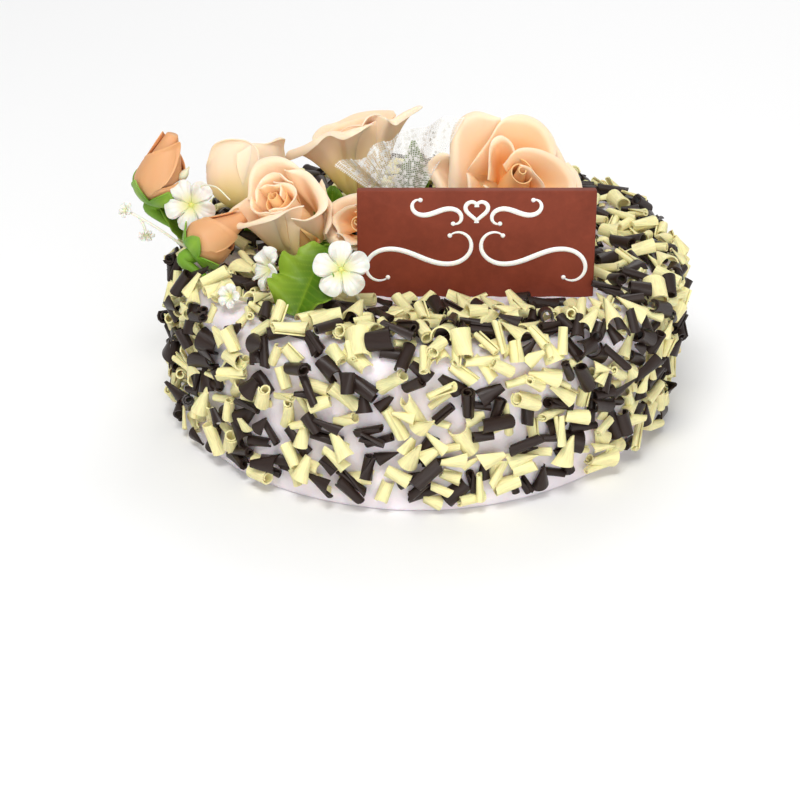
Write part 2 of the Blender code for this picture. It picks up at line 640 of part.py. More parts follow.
def curl_places():
    """Evenly scattered curls: (centre, direction, length, diameter), each lying on the skin.

    A random draw picks a place on the side or the top and a direction in the skin there, and it
    is kept if it is no nearer than the spacing to the ones before.
    """
    draws = np.random.default_rng(CURL_SEED).random((CURL_TRIES, 7))
    side_share = 2 * CAKE_HEIGHT / (2 * CAKE_HEIGHT + CAKE_RADIUS)
    places = []
    centres = np.zeros((0, 3))
    for draw in draws:
        length = CURL_LENGTH[0] + (CURL_LENGTH[1] - CURL_LENGTH[0]) * draw[3]
        diameter = CURL_DIAMETER[0] + (CURL_DIAMETER[1] - CURL_DIAMETER[0]) * draw[4]
        angle = math.tau * draw[1]
        outwards = Vector((math.cos(angle), math.sin(angle), 0.0))
        sink = 0.16 * diameter
        if draw[0] < side_share:
            height = 4.0 * MM + (CAKE_HEIGHT - 8.0 * MM) * draw[2]
            centre = outwards * skin_radius(angle, height) + Vector((0, 0, height))
            normal, upper = outwards, Vector((0.0, 0.0, 1.0))
        else:
            radius = (CAKE_RADIUS - 3.5 * MM) * math.sqrt(draw[2])
            centre = outwards * radius + Vector((0, 0, CAKE_HEIGHT))
            normal, upper = Vector((0.0, 0.0, 1.0)), outwards
            if radius > CAKE_RADIUS - RIM_ROUND:
                sink += 1.5 * MM
        if len(centres) and np.linalg.norm(centres - np.array(centre), axis=1).min() < CURL_SPACING:
            continue
        centres = np.vstack([centres, np.array(centre)])
        turn = math.pi * draw[5]
        tilt = math.radians(24.0) * (draw[6] - 0.3)
        flat = upper * math.sin(turn) + normal.cross(upper) * math.cos(turn)
        direction = flat * math.cos(tilt) + normal * math.sin(tilt)
        lift = 0.5 * diameter - sink + 0.3 * length * abs(math.sin(tilt))
        places.append((centre + normal * lift, direction, length, diameter))
    return places


def curl(centre, direction, length, diameter):
    """A plain curl: a prism that narrows a little towards one end."""
    half = direction.normalized() * length / 2
    return tube("curl", [centre - half, centre + half], [0.54 * diameter, 0.46 * diameter], CURL_SIDES)


def clear_of(trees, centre, direction, length, diameter):
    """Whether the curl stays clear of every piece that has a tree."""
    reach = 0.54 * diameter + CURL_GAP
    for share in np.linspace(-0.5, 0.5, 9):
        spot = centre + direction * (length * float(share))
        if any(tree.find_nearest(spot, reach)[0] is not None for tree in trees):
            return False
    return True


def cake(decorations, surface):
    """The iced cake with its largest curls fused on, and a slot for the plaque."""
    bpy.context.view_layer.update()
    graph = bpy.context.evaluated_depsgraph_get()
    trees = [BVHTree.FromObject(obj, graph) for obj in decorations]
    parts = [cake_body()]
    for place in curl_places():
        centre, direction, length, diameter = place
        lowest = centre.z - abs(direction.z) * length / 2 - 0.54 * diameter
        if lowest > 0.4 * MM and clear_of(trees, *place):
            parts.append(curl(*place))
        if len(parts) > CURL_COUNT:
            break
    body = fuse("cake", parts, surface)
    half = PLAQUE_WIDTH / 2 + GAP
    low = (PLAQUE_CENTRE_X - half, PLAQUE_FACE_Y - GAP, CAKE_HEIGHT - PLAQUE_DEPTH_IN_CREAM)
    back = PLAQUE_FACE_Y + PLAQUE_THICKNESS + GAP
    high = (PLAQUE_CENTRE_X + half, back, CAKE_HEIGHT + 20 * MM)
    return cut(body, box("slot_cutter", low, high))


def main():
    clear_scene()
    peach = material("peach sugar paste", PEACH, 0.55)
    deep_peach = material("deep peach sugar paste", DEEP_PEACH, 0.5)
    green = material("green sugar paste", GREEN, 0.5)
    white = material("white sugar paste", WHITE, 0.5)
    made = [plaque(material("brown chocolate", BROWN, 0.4))]
    for name, facts in ROSES.items():
        made.append(rose(name, peach))
        base = facts["rings"][-1]["tilts"][0]
        size, foot = facts["calyx"], facts["stem"]
        cup = calyx(name + "_calyx", facts["hip"], facts["axis"], size, (92, max(base + 16, 86), base + 34), foot, 2, green)
        made.append(stand_on_cream(cup))
    for name, facts in BUDS.items():
        made.append(bud(name, deep_peach))
        size, foot = facts["calyx"], facts["stem"]
        cup = calyx(name + "_calyx", facts["foot"], facts["axis"], size, (93, 79, -21), foot, 3, green)
        made.append(stand_on_cream(cut(cup, bud_body(facts, GAP))))
    made += [blossom(name, white) for name in BLOSSOMS]
    made += [leaf(name, green) for name in LEAVES]
    made.append(tulle(material("net", NET, 0.6)))
    made.append(sprig(white))
    cake(made, material("cream", CREAM, 0.6))


main()
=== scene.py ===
"""Birthday cake with chocolate curls, sugar roses, tulle and a standing chocolate plaque.

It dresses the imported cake: the cream and its curls, the plaque and its icing, and each flower,
leaf and wire stand for the solid of the same name, on the same formulas with finer grids.
Tables and grids are in millimetres and turn into metres when a mesh is made.
"""

import json
import math

import bpy
import numpy as np
from mathutils import Matrix, Vector
from mathutils.bvhtree import BVHTree

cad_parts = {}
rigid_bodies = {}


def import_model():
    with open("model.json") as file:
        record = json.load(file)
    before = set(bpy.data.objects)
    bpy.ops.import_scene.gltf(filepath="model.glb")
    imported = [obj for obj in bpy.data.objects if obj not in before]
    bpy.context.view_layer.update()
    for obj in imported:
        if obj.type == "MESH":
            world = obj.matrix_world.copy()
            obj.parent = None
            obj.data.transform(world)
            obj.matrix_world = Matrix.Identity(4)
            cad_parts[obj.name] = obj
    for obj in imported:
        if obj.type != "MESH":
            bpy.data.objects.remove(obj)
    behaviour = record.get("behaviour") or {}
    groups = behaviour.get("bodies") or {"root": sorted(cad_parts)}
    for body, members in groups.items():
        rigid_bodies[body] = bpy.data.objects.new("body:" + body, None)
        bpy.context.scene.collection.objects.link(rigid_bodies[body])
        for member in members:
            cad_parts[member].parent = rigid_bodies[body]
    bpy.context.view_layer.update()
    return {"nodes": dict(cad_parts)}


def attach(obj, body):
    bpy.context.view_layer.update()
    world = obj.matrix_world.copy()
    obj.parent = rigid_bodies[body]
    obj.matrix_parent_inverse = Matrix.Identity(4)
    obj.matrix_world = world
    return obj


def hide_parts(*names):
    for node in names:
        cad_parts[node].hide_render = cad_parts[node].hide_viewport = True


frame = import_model()

bl_info = {
    "name": "Birthday cake",
    "version": (1, 0, 0),
    "blender": (4, 5, 0),
    "location": "3D View > Sidebar > Cake",
    "description": "A cream cake with chocolate curls, sugar flowers, tulle and a plaque",
    "category": "Add Mesh",
}

MM = 0.001
TAU = math.tau

# The iced cake. Its right side leans in towards the foot.
CAKE_RADIUS = 96.0
CAKE_HEIGHT = 62.5
RIM_ROUND = 9.0
FOOT_ROUND = 2.0
LEAN_IN_RIGHT = 7.0
GAP = 0.3

# The largest curls, as the solid has them.
CURL_GAP = 0.7
CURL_SEED = 11
CURL_COUNT = 96
CURL_TRIES = 2600
CURL_SPACING = 14.0
CURL_LENGTH = (9.5, 14.0)
CURL_DIAMETER = (3.8, 5.2)

# The curls that fill in between them, and how high one may ride on others.
FILL_SEED = 23
FILL_LENGTH = (6.5, 12.5)
FILL_DIAMETER = (3.4, 6.2)
FILL_LIFTS = (-0.5, 0.6, 1.6, 2.6)
TOP_LIFTS = (-0.4, 0.7, 1.8, 2.9, 3.9)
FILL_SLACK = 0.60
CURL_NEIGHBOURS = 16.0

# How far a curl's body reaches from its middle line and down, as shares of its diameter, and how
# near the floor and the toppings it may come. Before the plaque curls stay low: how far that
# reaches past the plaque's sides, from which y on, and how high above the cream a middle may lie.
CURL_REACH = 0.54
FILL_REACH = 0.56
FILL_DROP = 0.85
FLOOR_GAP = 0.4
FILL_GAP = 0.5
PLAQUE_APRON = (4.0, -66.0, 2.2)

# The points across a curl's shaving.
CURL_POINTS = 15

# How far apart patches of more white and more dark curls lie, where most of the curls are white,
# and how far that reaches.
PATCH_REACH = 9.0
WHITE_HEAP = (-72.0, -50.0, 62.0)
WHITE_HEAP_REACH = 24.0
WHITE_SEED = 31
DARK_SEED = 37

# The plaque.
PLAQUE_CENTRE_X = 17.0
PLAQUE_FACE_Y = -44.0
PLAQUE_WIDTH = 87.0
PLAQUE_THICKNESS = 3.6
PLAQUE_TOP = 104.2
PLAQUE_DEPTH_IN_CREAM = 3.0
PLAQUE_MIDDLE = 85.0
PIPING_SUNK = 0.25

# A rose's petals: how far in each sits, 0 for the outermost and 1 for the heart, its tilts from
# the rose's axis at base and lip, and its lip's points, each as millimetres from the rose's hip
# to the right, up and nearer as the camera sees it, and how much of the lip rolls back there.
OPEN_PETALS = (
    (0, 84, 48, ((-19.6, 2.4, 8.7, 5.5), (-20.6, 13.5, 8.5, 6), (-19, 25, 8, 6), (-12.5, 30, 8, 4.5),
        (-3, 28.4, 8, 2))),
    (0, 84, 66, ((2, 26.5, 3.5, 2), (12, 25, 3, 3), (18.5, 17.5, 3.5, 4), (22.5, 9, 4.5, 3))),
    (0, 84, 40, ((-23.5, 0.5, 6.5, 4.5), (-27.6, 9, 5, 5), (-27, 13.5, 6, 4.5), (-22.5, 15, 7.5, 4),
        (-19.5, 9, 6, 2))),
    (0, 84, 70, ((22, 12.5, 6.5, 2), (26, 7.5, 6.5, 3), (27, 0, 8, 3), (21.5, -6.6, 11.7, 2))),
    (0, 84, 66, ((-22, -0.7, 9.7, 2), (-16.4, -12.5, 15, 3), (-2.2, -16, 16, 2))),
    (0, 84, 66, ((-4, -15, 15.5, 2), (11.7, -15, 16, 3), (21.5, -6.6, 12.5, 2))),
    (0.35, 70, 42, ((-15.2, 8.9, 10.2, 0.2), (-8, 18.5, 10.3, 0.3), (-2.5, 27.4, 9.6, 1.5),
        (5.5, 28.4, 9.5, 4.5), (12.3, 25, 9.9, 5), (16.1, 18, 10.3, 3.5), (15.5, 11, 10.5, 1.5))),
    (0.35, 70, 58, ((-2.2, 9.9, 16.7, 0.2), (1, 14.3, 16.3, 0.6), (4.5, 16.3, 15.6, 1.5),
        (9.8, 16.3, 14, 2.5), (15.4, 14.3, 12.6, 3), (20.5, 10.5, 11.5, 3.5), (24, 4.5, 10.8, 3.5),
        (23, -2, 11.6, 2))),
    (0.35, 70, 45, ((-15, 7.5, 13, 1), (-15.5, -1.5, 15.5, 2), (-10, -8.5, 18, 2), (4.7, -8.8, 18.5, 1))),
    (0.6, 60, 30, ((2.4, 13.5, 15.4, 0.2), (0.8, 18, 14.4, 1), (-2.8, 20.6, 13.6, 2.2),
        (-6.6, 18, 13.6, 2), (-8, 12, 14.4, 1), (-6.8, 5, 14.7, 0.3))),
    (0.6, 60, 40, ((3.2, 9.6, 19, 0.2), (6.2, 9.2, 18.3, 0.8), (9.8, 6.7, 17.1, 1.2),
        (12.6, 2.2, 15.6, 1.2), (11.7, -3.5, 14.8, 0.6))),
    (0.6, 60, 30, ((-8.5, 3, 16.5, 0.6), (-5, -3.5, 18, 1), (3, -5.5, 18.4, 1), (10, -4, 16, 0.6))),
)
CUPPED_PETALS = (
    (0, 90, 26, ((-21.5, 17.5, 6, 1), (-21.6, 26, 4.5, 2), (-18.5, 31.4, 4.5, 3), (-11.5, 32.7, 6, 3),
        (-4.5, 29.5, 8.5, 1.5), (0, 25.5, 10, 0.5))),
    (0, 90, 30, ((-8.5, 28, 9, 0.5), (-1.5, 27, 11, 3), (3.6, 20, 15, 4), (4.6, 13, 19, 4),
        (0.5, 8.5, 21.5, 3), (-6, 9.5, 21, 1))),
    (0, 92, 36, ((-22, 18.5, 4.5, 0.5), (-29.2, 13.2, 2.5, 3), (-26.2, 8.8, 8.5, 4.5),
        (-20.5, 8.4, 14, 4.5), (-13.8, 10.2, 17.5, 4), (-7, 12.4, 19.5, 2.5), (-2, 14, 19, 0.5))),
    (0, 76, 30, ((4, 24, 8, 2), (8.5, 14, 12, 3), (6.5, 4, 17, 2))),
    (0.4, 60, 16, ((-18.8, 15, 9.5, 0.4), (-19, 20.5, 9, 1.5), (-16, 24.8, 9.5, 2),
        (-10, 26.2, 11.5, 1.5), (-5.5, 22.5, 15, 0.4))),
    (0.4, 60, 20, ((-12.5, 23, 12.5, 0.3), (-7.5, 22.5, 15, 1.5), (-4.5, 17.5, 17.6, 2),
        (-7.5, 13.2, 19, 1.5), (-13.4, 12.6, 18, 0.4))),
    (0.4, 60, 14, ((-20.5, 18, 9.5, 0.4), (-20, 13, 12.5, 1.2), (-15.5, 11.2, 16.5, 1.5),
        (-9.5, 12.6, 18, 0.4))),
    (0.7, 55, 6, ((-17.5, 20.5, 12, 0.2), (-14.5, 22.3, 12.5, 0.8), (-10, 21.5, 14.6, 0.6),
        (-9.5, 17, 17, 0.2))),
)
TURNED_PETALS = (
    (0, 70, -10, ((-14.4, 15, 1, 1), (-14.4, 19, 5.5, 3), (-10.8, 24.3, 8.5, 4.5), (-5, 26.8, 10, 4),
        (0.5, 26.2, 11.5, 2), (4.5, 22, 15, 0.8), (5.5, 15.5, 18, 0.3))),
    (0, 70, -6, ((-3.5, 21.5, 13, 0.3), (2, 25, 13, 0.8), (7, 25.6, 10.7, 2), (10.4, 27.8, 8.6, 5),
        (13, 24.5, 4.4, 3), (13.6, 19.5, 0.5, 1))),
    (0, 70, 0, ((13, 22, 0.5, 1), (7, 27, -5.5, 2), (-5.4, 27, -6.8, 2), (-13.2, 21.5, -1, 1))),
    (0.5, 64, -6, ((-9, 20, 2.5, 0.4), (-6, 24.5, 8, 1), (1.5, 25, 9.5, 1), (7, 23, 8, 0.4))),
    (0.5, 64, -6, ((8, 20.5, 6.5, 0.4), (7, 25, 0.5, 1), (-2, 25.5, -2.5, 1), (-8, 22, 1, 0.4))),
)
FLARED_PETALS = (
    (0, 50, 62, ((-17, 21.5, 6.5, 1), (-18.4, 24.6, 3, 3), (-15.5, 28, 0, 3), (-10, 30.2, -2.9, 2),
        (-3, 33.6, -3.3, 2.5), (5, 35, -1.6, 2.5), (11.5, 34.4, 2.8, 2), (13.5, 31.5, 8, 0.6))),
    (0, 48, 66, ((-19, 21.5, 2, 1), (-28.4, 17.8, 7.5, 6), (-21.6, 19.2, 16.5, 6), (-16.7, 21.8, 20, 5),
        (-12, 24, 21.5, 3), (-6.5, 22.8, 25, 5), (-1.5, 24, 25.5, 4), (4.5, 27, 22.5, 1))),
    (0, 46, 54, ((0.5, 26, 22, 0.5), (3.5, 29.6, 20, 1.5), (7, 31, 20, 2.5), (11.2, 28.6, 23.5, 4.5),
        (14.5, 29, 23, 4.5), (19, 32, 19, 4), (23, 34.6, 14.5, 2.6), (18, 32.8, 8, 1.2),
        (13, 31, 5.5, 0.5))),
    (0.45, 44, 24, ((-13, 22.5, 12, 0.4), (-11, 26.5, 6, 1.5), (-3, 30, 4.4, 2), (5, 31, 7, 1.5),
        (9, 29.5, 12, 0.4))),
    (0.45, 44, 20, ((-10.5, 22.5, 13, 0.4), (-5, 25.4, 18, 1.5), (3, 26.8, 19.4, 1.5),
        (9, 28.5, 16.5, 0.4))),
    (0.7, 40, 8, ((-7, 24, 12, 0.4), (-2, 27.5, 9, 1), (4, 28, 11.5, 0.8), (4, 26.5, 16, 0.3))),
)
SMALL_PETALS = (
    (0, 74, 66, ((-4, 14.2, 6.5, 1), (-10, 13, 5.8, 2.5), (-16.6, 9.8, 4.8, 3.5), (-19.6, 3.5, 5.4, 3),
        (-17, -2, 7.5, 1))),
    (0, 74, 66, ((-20, 5, 4.8, 1), (-18.6, -1.5, 7.2, 3), (-14.8, -5, 9.3, 3.5), (-9, -7.2, 11.8, 3),
        (-1, -8.5, 13.5, 1))),
    (0, 74, 60, ((-5, 13, 7, 1), (3, 13, 7.5, 2), (10, 8, 9.5, 2.5), (12, 1, 12, 1))),
    (0, 74, 60, ((12, 3, 11.5, 1), (9.5, -6, 14.5, 2), (2, -9.5, 15.5, 2), (-4, -8.5, 14, 1))),
    (0.4, 62, 30, ((-5.5, 9.5, 10.5, 0.3), (-11.5, 8, 9.4, 1.5), (-15, 3.5, 9.2, 2), (-13, -2.5, 11, 1))),
    (0.4, 62, 30, ((-14, -1, 10.5, 0.3), (-9.5, -4.6, 13.5, 1.5), (-2, -4.5, 15.5, 1.5),
        (4, 0.5, 14.5, 0.5))),
    (0.4, 62, 26, ((-7, 9, 11, 0.3), (0, 8.8, 12, 1.2), (5, 4, 13.5, 1.2), (3, -2, 15.5, 0.4))),
)

# How deep a stem goes into the cream, how far a petal's foot lies off the rose's axis, the radius
# of a rolled lip's curl, how strongly a petal's tilts bend it, and where its lip starts.
STEM_DEPTH = 1.0
PETAL_HUB = 3.4
LIP_CURL = 2.3
PETAL_BEND = 1.25
LIP_SHARE = 0.80

# Each rose: its petals, its heart's radius and the tip of its heart as its lips' points are
# given, its hip, its axis, how its petals start, its calyx's size, the foot of its stem in the
# cream, and how pale it is.
ROSES = {
    "rose_open": dict(petals=OPEN_PETALS, heart=(7.6, (4.2, 8.0, 18.8)), hip=(30.0, -6.0, 87.5),
                      axis=(-0.03, -0.70, 0.71), base=84, calyx=12.0, stem=(31.0, 9.0), pale=0.0),
    "rose_flared": dict(petals=FLARED_PETALS, heart=(4.6, (-0.5, 24.5, 12.0)), hip=(-26.0, 19.0, 77.0),
                        axis=(-0.12, 0.22, 0.97), base=46, calyx=12.0, stem=(-26.0, 16.0), pale=0.1),
    "rose_cupped": dict(petals=CUPPED_PETALS, heart=(6.4, (-13.2, 18.0, 14.6)), hip=(-46.0, -15.0, 70.5),
                        axis=(-0.48, -0.34, 0.81), base=76, calyx=12.0, stem=(-44.0, -14.0), pale=0.0),
    "rose_turned_away": dict(petals=TURNED_PETALS, heart=(5.0, (0.5, 22.0, 4.5)), hip=(-69.5, 8.0, 75.0),
                             axis=(0.06, 0.30, 0.95), base=84, calyx=12.0, stem=(-70.0, 7.0), pale=0.2),
    "rose_small": dict(petals=SMALL_PETALS, heart=(4.8, (-6.6, 2.6, 13.6)), hip=(-20.5, -16.0, 77.0),
                       axis=(-0.30, -0.70, 0.64), base=74, calyx=9.0, stem=(-17.0, -9.0), pale=0.0),
}

# Where a bud is widest, as a share of its length, and how much of a turn it winds from foot to tip.
BUD_WIDEST = 0.27
BUD_TWIST = 0.35

# Each rosebud: its foot, its axis, its length and radius, a turn about its axis, its sepals'
# height, the foot of its stem, and its outer petals: where each starts and how much of a turn it
# covers, its high and low end as shares of the length, and how far out it lies.
BUDS = {
    "bud_upright": dict(
        foot=(-104.5, 3.0, 82.5), axis=(0.27, 0.05, 0.96), size=(27.0, 9.2), turn=92, calyx=8.6,
        stem=(-85.0, 9.0), wraps=((0.02, 0.74, 1.0, 0.24, 0.25), (0.50, 0.62, 0.96, 0.14, 0.70))),
    "bud_lying": dict(
        foot=(-88.5, -21.0, 70.2), axis=(0.79, 0.30, 0.51), size=(23.5, 8.6), turn=110, calyx=5.4,
        stem=(-84.0, -26.0), wraps=((0.02, 0.72, 1.0, 0.45, 0.25), (0.50, 0.60, 0.72, 0.30, 0.75))),
}

# Each blossom: its centre, the way that it faces, its radius, its petals' tilt, a turn, and the
# foot of its stem.
BLOSSOMS = {
    "blossom_front": dict(centre=(-31.8, -65.0, 82.2), facing=(0.05, -0.92, 0.38), radius=10.4,
                          tilt=72, turn=20, stem=(-23.0, -56.0)),
    "blossom_left": dict(centre=(-90.6, -7.0, 84.2), facing=(-0.10, -0.90, 0.40), radius=10.4,
                         tilt=66, turn=50, stem=(-82.0, -5.0)),
    "blossom_side": dict(centre=(-59.5, -46.5, 75.0), facing=(-0.85, -0.42, 0.32), radius=9.2,
                         tilt=60, turn=0, stem=(-50.0, -40.0)),
    "blossom_edge": dict(centre=(-73.0, -56.0, 68.0), facing=(-0.45, -0.80, 0.40), radius=5.0,
                         tilt=58, turn=10, stem=(-64.0, -48.0)),
}

# Each leaf: its foot, the direction of its midrib, the direction that its face looks, its length
# and half width, its edge's ruffle, its fold along the midrib and its droop as shares, and the
# foot of its stalk. The front one is also fuller near its tip, blunt and more waved, and has
# light painted on one side (lit), as if that side caught the lamp.
LEAVES = {
    "leaf_front": dict(foot=(-37.8, -43.0, 81.5), rib=(-0.37, -0.74, -0.54),
                       face=(-0.20, -0.62, 0.76), size=(29.5, 11.6), ruffle=0.12, fold=0.55, belly=-0.55,
                       blunt=0.34, waves=17.0, lit=0.85, droop=0.05, stem=(-35.0, -36.0)),
    "leaf_under_cupped": dict(foot=(-38.5, -25.0, 66.0), rib=(0.02, -0.45, 0.62),
                              face=(0.10, -0.60, 0.75), size=(14.0, 6.5), ruffle=0.03, fold=0.20,
                              droop=0.05, stem=(-39.0, -22.0)),
    "leaf_between": dict(foot=(-38.0, 2.0, 66.0), rib=(0.06, -0.05, 0.95), face=(0.05, -0.85, 0.30),
                         size=(22.0, 8.0), ruffle=0.03, fold=0.25, droop=0.05, stem=(-38.0, 4.0)),
    "leaf_behind_tulle": dict(foot=(-9.0, 2.0, 68.0), rib=(0.10, 0.03, 0.97),
                              face=(0.35, -0.90, 0.20), size=(38.0, 7.0), ruffle=0.03, fold=0.30,
                              droop=0.02, stem=(-9.0, 4.0)),
    "leaf_under_bud": dict(foot=(-86.0, 2.0, 65.5), rib=(-0.80, 0.02, 0.60),
                           face=(0.45, -0.65, 0.60), size=(22.0, 6.0), ruffle=0.03, fold=0.22,
                           droop=-0.04, stem=(-82.0, 4.0)),
}

# The tulle: gathered at its foot and fanned out from the left, over the top, to the right.
TULLE_FOOT = (-8.0, -9.0, 80.0)
TULLE_FAN = (-54.0, 30.0)
TULLE_REACHES = (34.0, 29.0, 31.0, 34.0, 43.0)
TULLE_FOLDS = 3.5
TULLE_FOLD_DEPTH = 2.8
TULLE_BACKWARDS = 9.0
TULLE_GRID = (181, 41)
TULLE_WEAVE_LENGTH = 32.0
FLAKE_SEED = 8
FLAKE_RADIUS = (0.35, 0.75)
FLAKE_LIFT = 0.25
FLAKE_HALF_THICKNESS = 0.12
DULL_FLAKE = (0.80, 0.80, 0.78)
BRIGHT_FLAKE = (1.0, 1.0, 0.98)

# The sprig: a wire that leaves the spray over the cake's left edge, and a twig that hangs off it.
SPRIG_WIRE = (
    (-81.0, -8.0, 62.0), (-92.0, -12.5, 69.0), (-102.0, -15.0, 77.5), (-109.5, -13.0, 81.5),
    (-114.5, -11.0, 83.5))
SPRIG_TWIG = ((-109.5, -13.0, 81.5), (-108.0, -13.5, 78.5), (-107.0, -14.0, 75.0))
SPRIG_FACINGS = ((-0.5, -0.5, 0.5), (0.1, -0.7, -0.4))
SPRIG_BLOSSOM = 3.8
WIRE_RADIUS = 0.55

# Thin wires between the upright bud and the rose beside it, and the small closed bud on one.
SPRAY_WIRES = (
    ((-85.0, 0.0, 62.0), (-88.0, -2.0, 78.0), (-87.0, -5.0, 90.0), (-80.5, -12.0, 93.5),
     (-74.5, -18.0, 90.5)),
    ((-86.0, 5.0, 62.0), (-92.0, 4.0, 80.0), (-95.0, 1.0, 91.0)),
)
SPRAY_WIRE_RADIUS = 0.28
SPRAY_BUD = dict(foot=(-95.2, 1.0, 90.5), axis=(0.55, -0.1, 0.83), size=(7.5, 1.7))

# Piped S-scrolls, each mirrored left and right, and the heart between the upper two.
STROKES = (
    dict(middle=(21.0, -6.5), heading=24, length=70.0, bend=0.25),
    dict(middle=(14.5, 11.0), heading=-22, length=31.0, bend=-0.50),
)
HEART = dict(middle=11.5, width=9.0)
HEART_OVERLAP = 0.4

# The camera that fits the photograph.
CAMERA_AIM = Vector((-0.01085, 0.0, -0.0022))
CAMERA_DISTANCE = 0.9
CAMERA_ELEVATION = 26.5
CAMERA_LENS = 101.25

# The studio: each light's place, size and power, the world's strength, and the floor.
LIGHTS = {
    "key": ((-0.2, -0.85, 1.5), 0.6, 15.6),
    "fill": ((0.4, -1.5, 0.35), 1.0, 9.0),
    "back": ((0.3, 1.2, 1.2), 0.8, 6.0),
}
LIGHTS_AIM = (0, 0, 0.04)
WORLD_STRENGTH = 0.53
FLOOR_REACH = 4.0
FLOOR_TONE = 0.93
STARTUP_OBJECTS = ("Cube", "Light", "Camera")


def srgb(*levels):
    """The linear colour of red, green and blue levels from 0 to 255."""
    share = np.array(levels) / 255.0
    linear = np.where(share <= 0.04045, share / 12.92, ((share + 0.055) / 1.055) ** 2.4)
    return tuple(float(x) for x in linear)


def colour_setting(name, description, *levels):
    """A colour that a user may change."""
    return bpy.props.FloatVectorProperty(
        name=name, description=description, subtype="COLOR", size=3, min=0.0, max=1.0, default=srgb(*levels))


class CreamSettings(bpy.types.PropertyGroup):
    """The cream."""

    colour: colour_setting("Cream colour", "Colour of the whipped cream", 238, 229, 234)
    wave: bpy.props.FloatProperty(
        name="Cream wave", description="How far the cream's surface waves", unit="LENGTH",
        default=0.0006, min=0.0, max=0.002)


class CurlSettings(bpy.types.PropertyGroup):
    """The chocolate curls."""

    side_count: bpy.props.IntProperty(
        name="Curls on the side", description="How many curls the side holds at most",
        default=690, min=0, max=1500)
    top_count: bpy.props.IntProperty(
        name="Curls on top", description="How many curls the top holds at most",
        default=800, min=0, max=1500)
    white_share: bpy.props.FloatProperty(
        name="White share", description="Share of the curls that are white", subtype="FACTOR",
        default=0.56, min=0.0, max=1.0)
    wall: bpy.props.FloatProperty(
        name="Curl wall", description="Thickness of a curl's shaving", unit="LENGTH",
        default=0.0006, min=0.0002, max=0.002)
    white: colour_setting("White chocolate", "Colour of the white curls", 242, 232, 173)
    dark: colour_setting("Dark chocolate", "Colour of the dark curls", 46, 33, 28)


class PlaqueSettings(bpy.types.PropertyGroup):
    """The plaque."""

    colour: colour_setting("Plaque colour", "Colour of the plaque", 124, 56, 38)
    icing: colour_setting("Icing colour", "Colour of the piping", 250, 247, 240)
    piping: bpy.props.FloatProperty(
        name="Piping width", description="Width of a piped line at its widest", unit="LENGTH",
        default=0.0022, min=0.0005, max=0.004)


class FlowerSettings(bpy.types.PropertyGroup):
    """The sugar flowers and leaves."""

    pale: colour_setting("Petal edge", "Colour at a petal's edge", 249, 222, 194)
    peach: colour_setting("Petal", "Colour of a petal's middle", 255, 211, 165)
    # Deep in a rose the colour is partly the paste's tint and partly painted bounce light in the folds.
    deep: colour_setting("Petal depth", "Colour deep in a rose", 255, 189, 112)
    foot: colour_setting("Petal foot", "Colour dusted on the petals' feet", 217, 192, 100)
    bud: colour_setting("Rosebud", "Colour of the rosebuds", 214, 157, 108)
    leaf: colour_setting("Leaf", "Colour of the leaves", 82, 122, 18)
    calyx: colour_setting("Calyx", "Colour of the calyxes and stems", 112, 160, 44)
    white: colour_setting("Blossom", "Colour of the small blossoms", 228, 227, 218)
    heart: colour_setting("Blossom heart", "Colour of the blossoms' hearts", 218, 212, 118)


class TulleSettings(bpy.types.PropertyGroup):
    """The tulle."""

    colour: colour_setting("Tulle colour", "Colour of the net", 248, 247, 240)
    cover: bpy.props.FloatProperty(
        name="Cover", description="Share of the light that the net stops between its threads",
        subtype="FACTOR", default=0.25, min=0.0, max=1.0)
    flakes: bpy.props.IntProperty(
        name="Flakes", description="How many sparkling flakes lie on the net",
        default=280, min=0, max=400)


# Numbers and placing

def smooth(t):
    """0 below 0, 1 above 1 and an S-curve between."""
    t = np.clip(t, 0.0, 1.0)
    return t * t * (3.0 - 2.0 * t)


def bumps(x, y, seed):
    """A smooth uneven height between about -1 and 1: sines of x and y at odd directions and phases."""
    random = np.random.default_rng(seed)
    height = np.zeros(np.broadcast(x, y).shape)
    for _ in range(7):
        way, phase, rate = random.random(3) * (TAU, TAU, 1.2) + (0, 0, 0.6)
        height = height + np.sin(rate * (x * math.cos(way) + y * math.sin(way)) + phase)
    return height / 4.0


def placed(origin, axis, turn=0.0):
    """A matrix that takes +Z to the axis at the origin, after a turn about +Z in degrees."""
    look = Vector(axis).normalized().to_track_quat("Z", "Y").to_matrix()
    spin = Matrix.Rotation(math.radians(turn), 3, "Z")
    return Matrix.Translation(Vector(origin)) @ (look @ spin).to_4x4()


def carried(points, place):
    """The points moved by a 4x4 matrix."""
    place = np.array(place)
    return points @ place[:3, :3].T + place[:3, 3]


def unit(vectors):
    """The vectors made one long."""
    return vectors / np.maximum(np.linalg.norm(vectors, axis=-1, keepdims=True), 1e-9)


def unit_axis(vector):
    """One direction as an array one long."""
    return np.array(Vector(vector).normalized())


def between(span, share):
    """The number at a share of the way from the span's low end to its high end."""
    return span[0] + (span[1] - span[0]) * share


def in_cream(x, y):
    """The foot of a stem at x and y, just under the cream's top."""
    return np.array([x, y, CAKE_HEIGHT - STEM_DEPTH])


# Shells: points, faces and a value at each point

def shell(points, faces, **values):
    """Points, blocks of faces, and under each name a value at each point."""
    points = points.reshape(-1, 3)
    return dict(points=points, faces=faces, values={
        name: np.array(value) for name, value in values.items()})


def moved(parts, place):
    """The shells carried by a 4x4 matrix."""
    for part in parts:
        part["points"] = carried(part["points"], place)
    return parts


def joined(shells):
    """Several shells as one, their faces renumbered."""
    faces, start = [], 0
    for one in shells:
        faces += [block + start for block in one["faces"]]
        start += len(one["points"])
    names = shells[0]["values"]
    values = {name: np.concatenate([one["values"][name] for one in shells]) for name in names}
    return dict(points=np.concatenate([one["points"] for one in shells]), faces=faces, values=values)


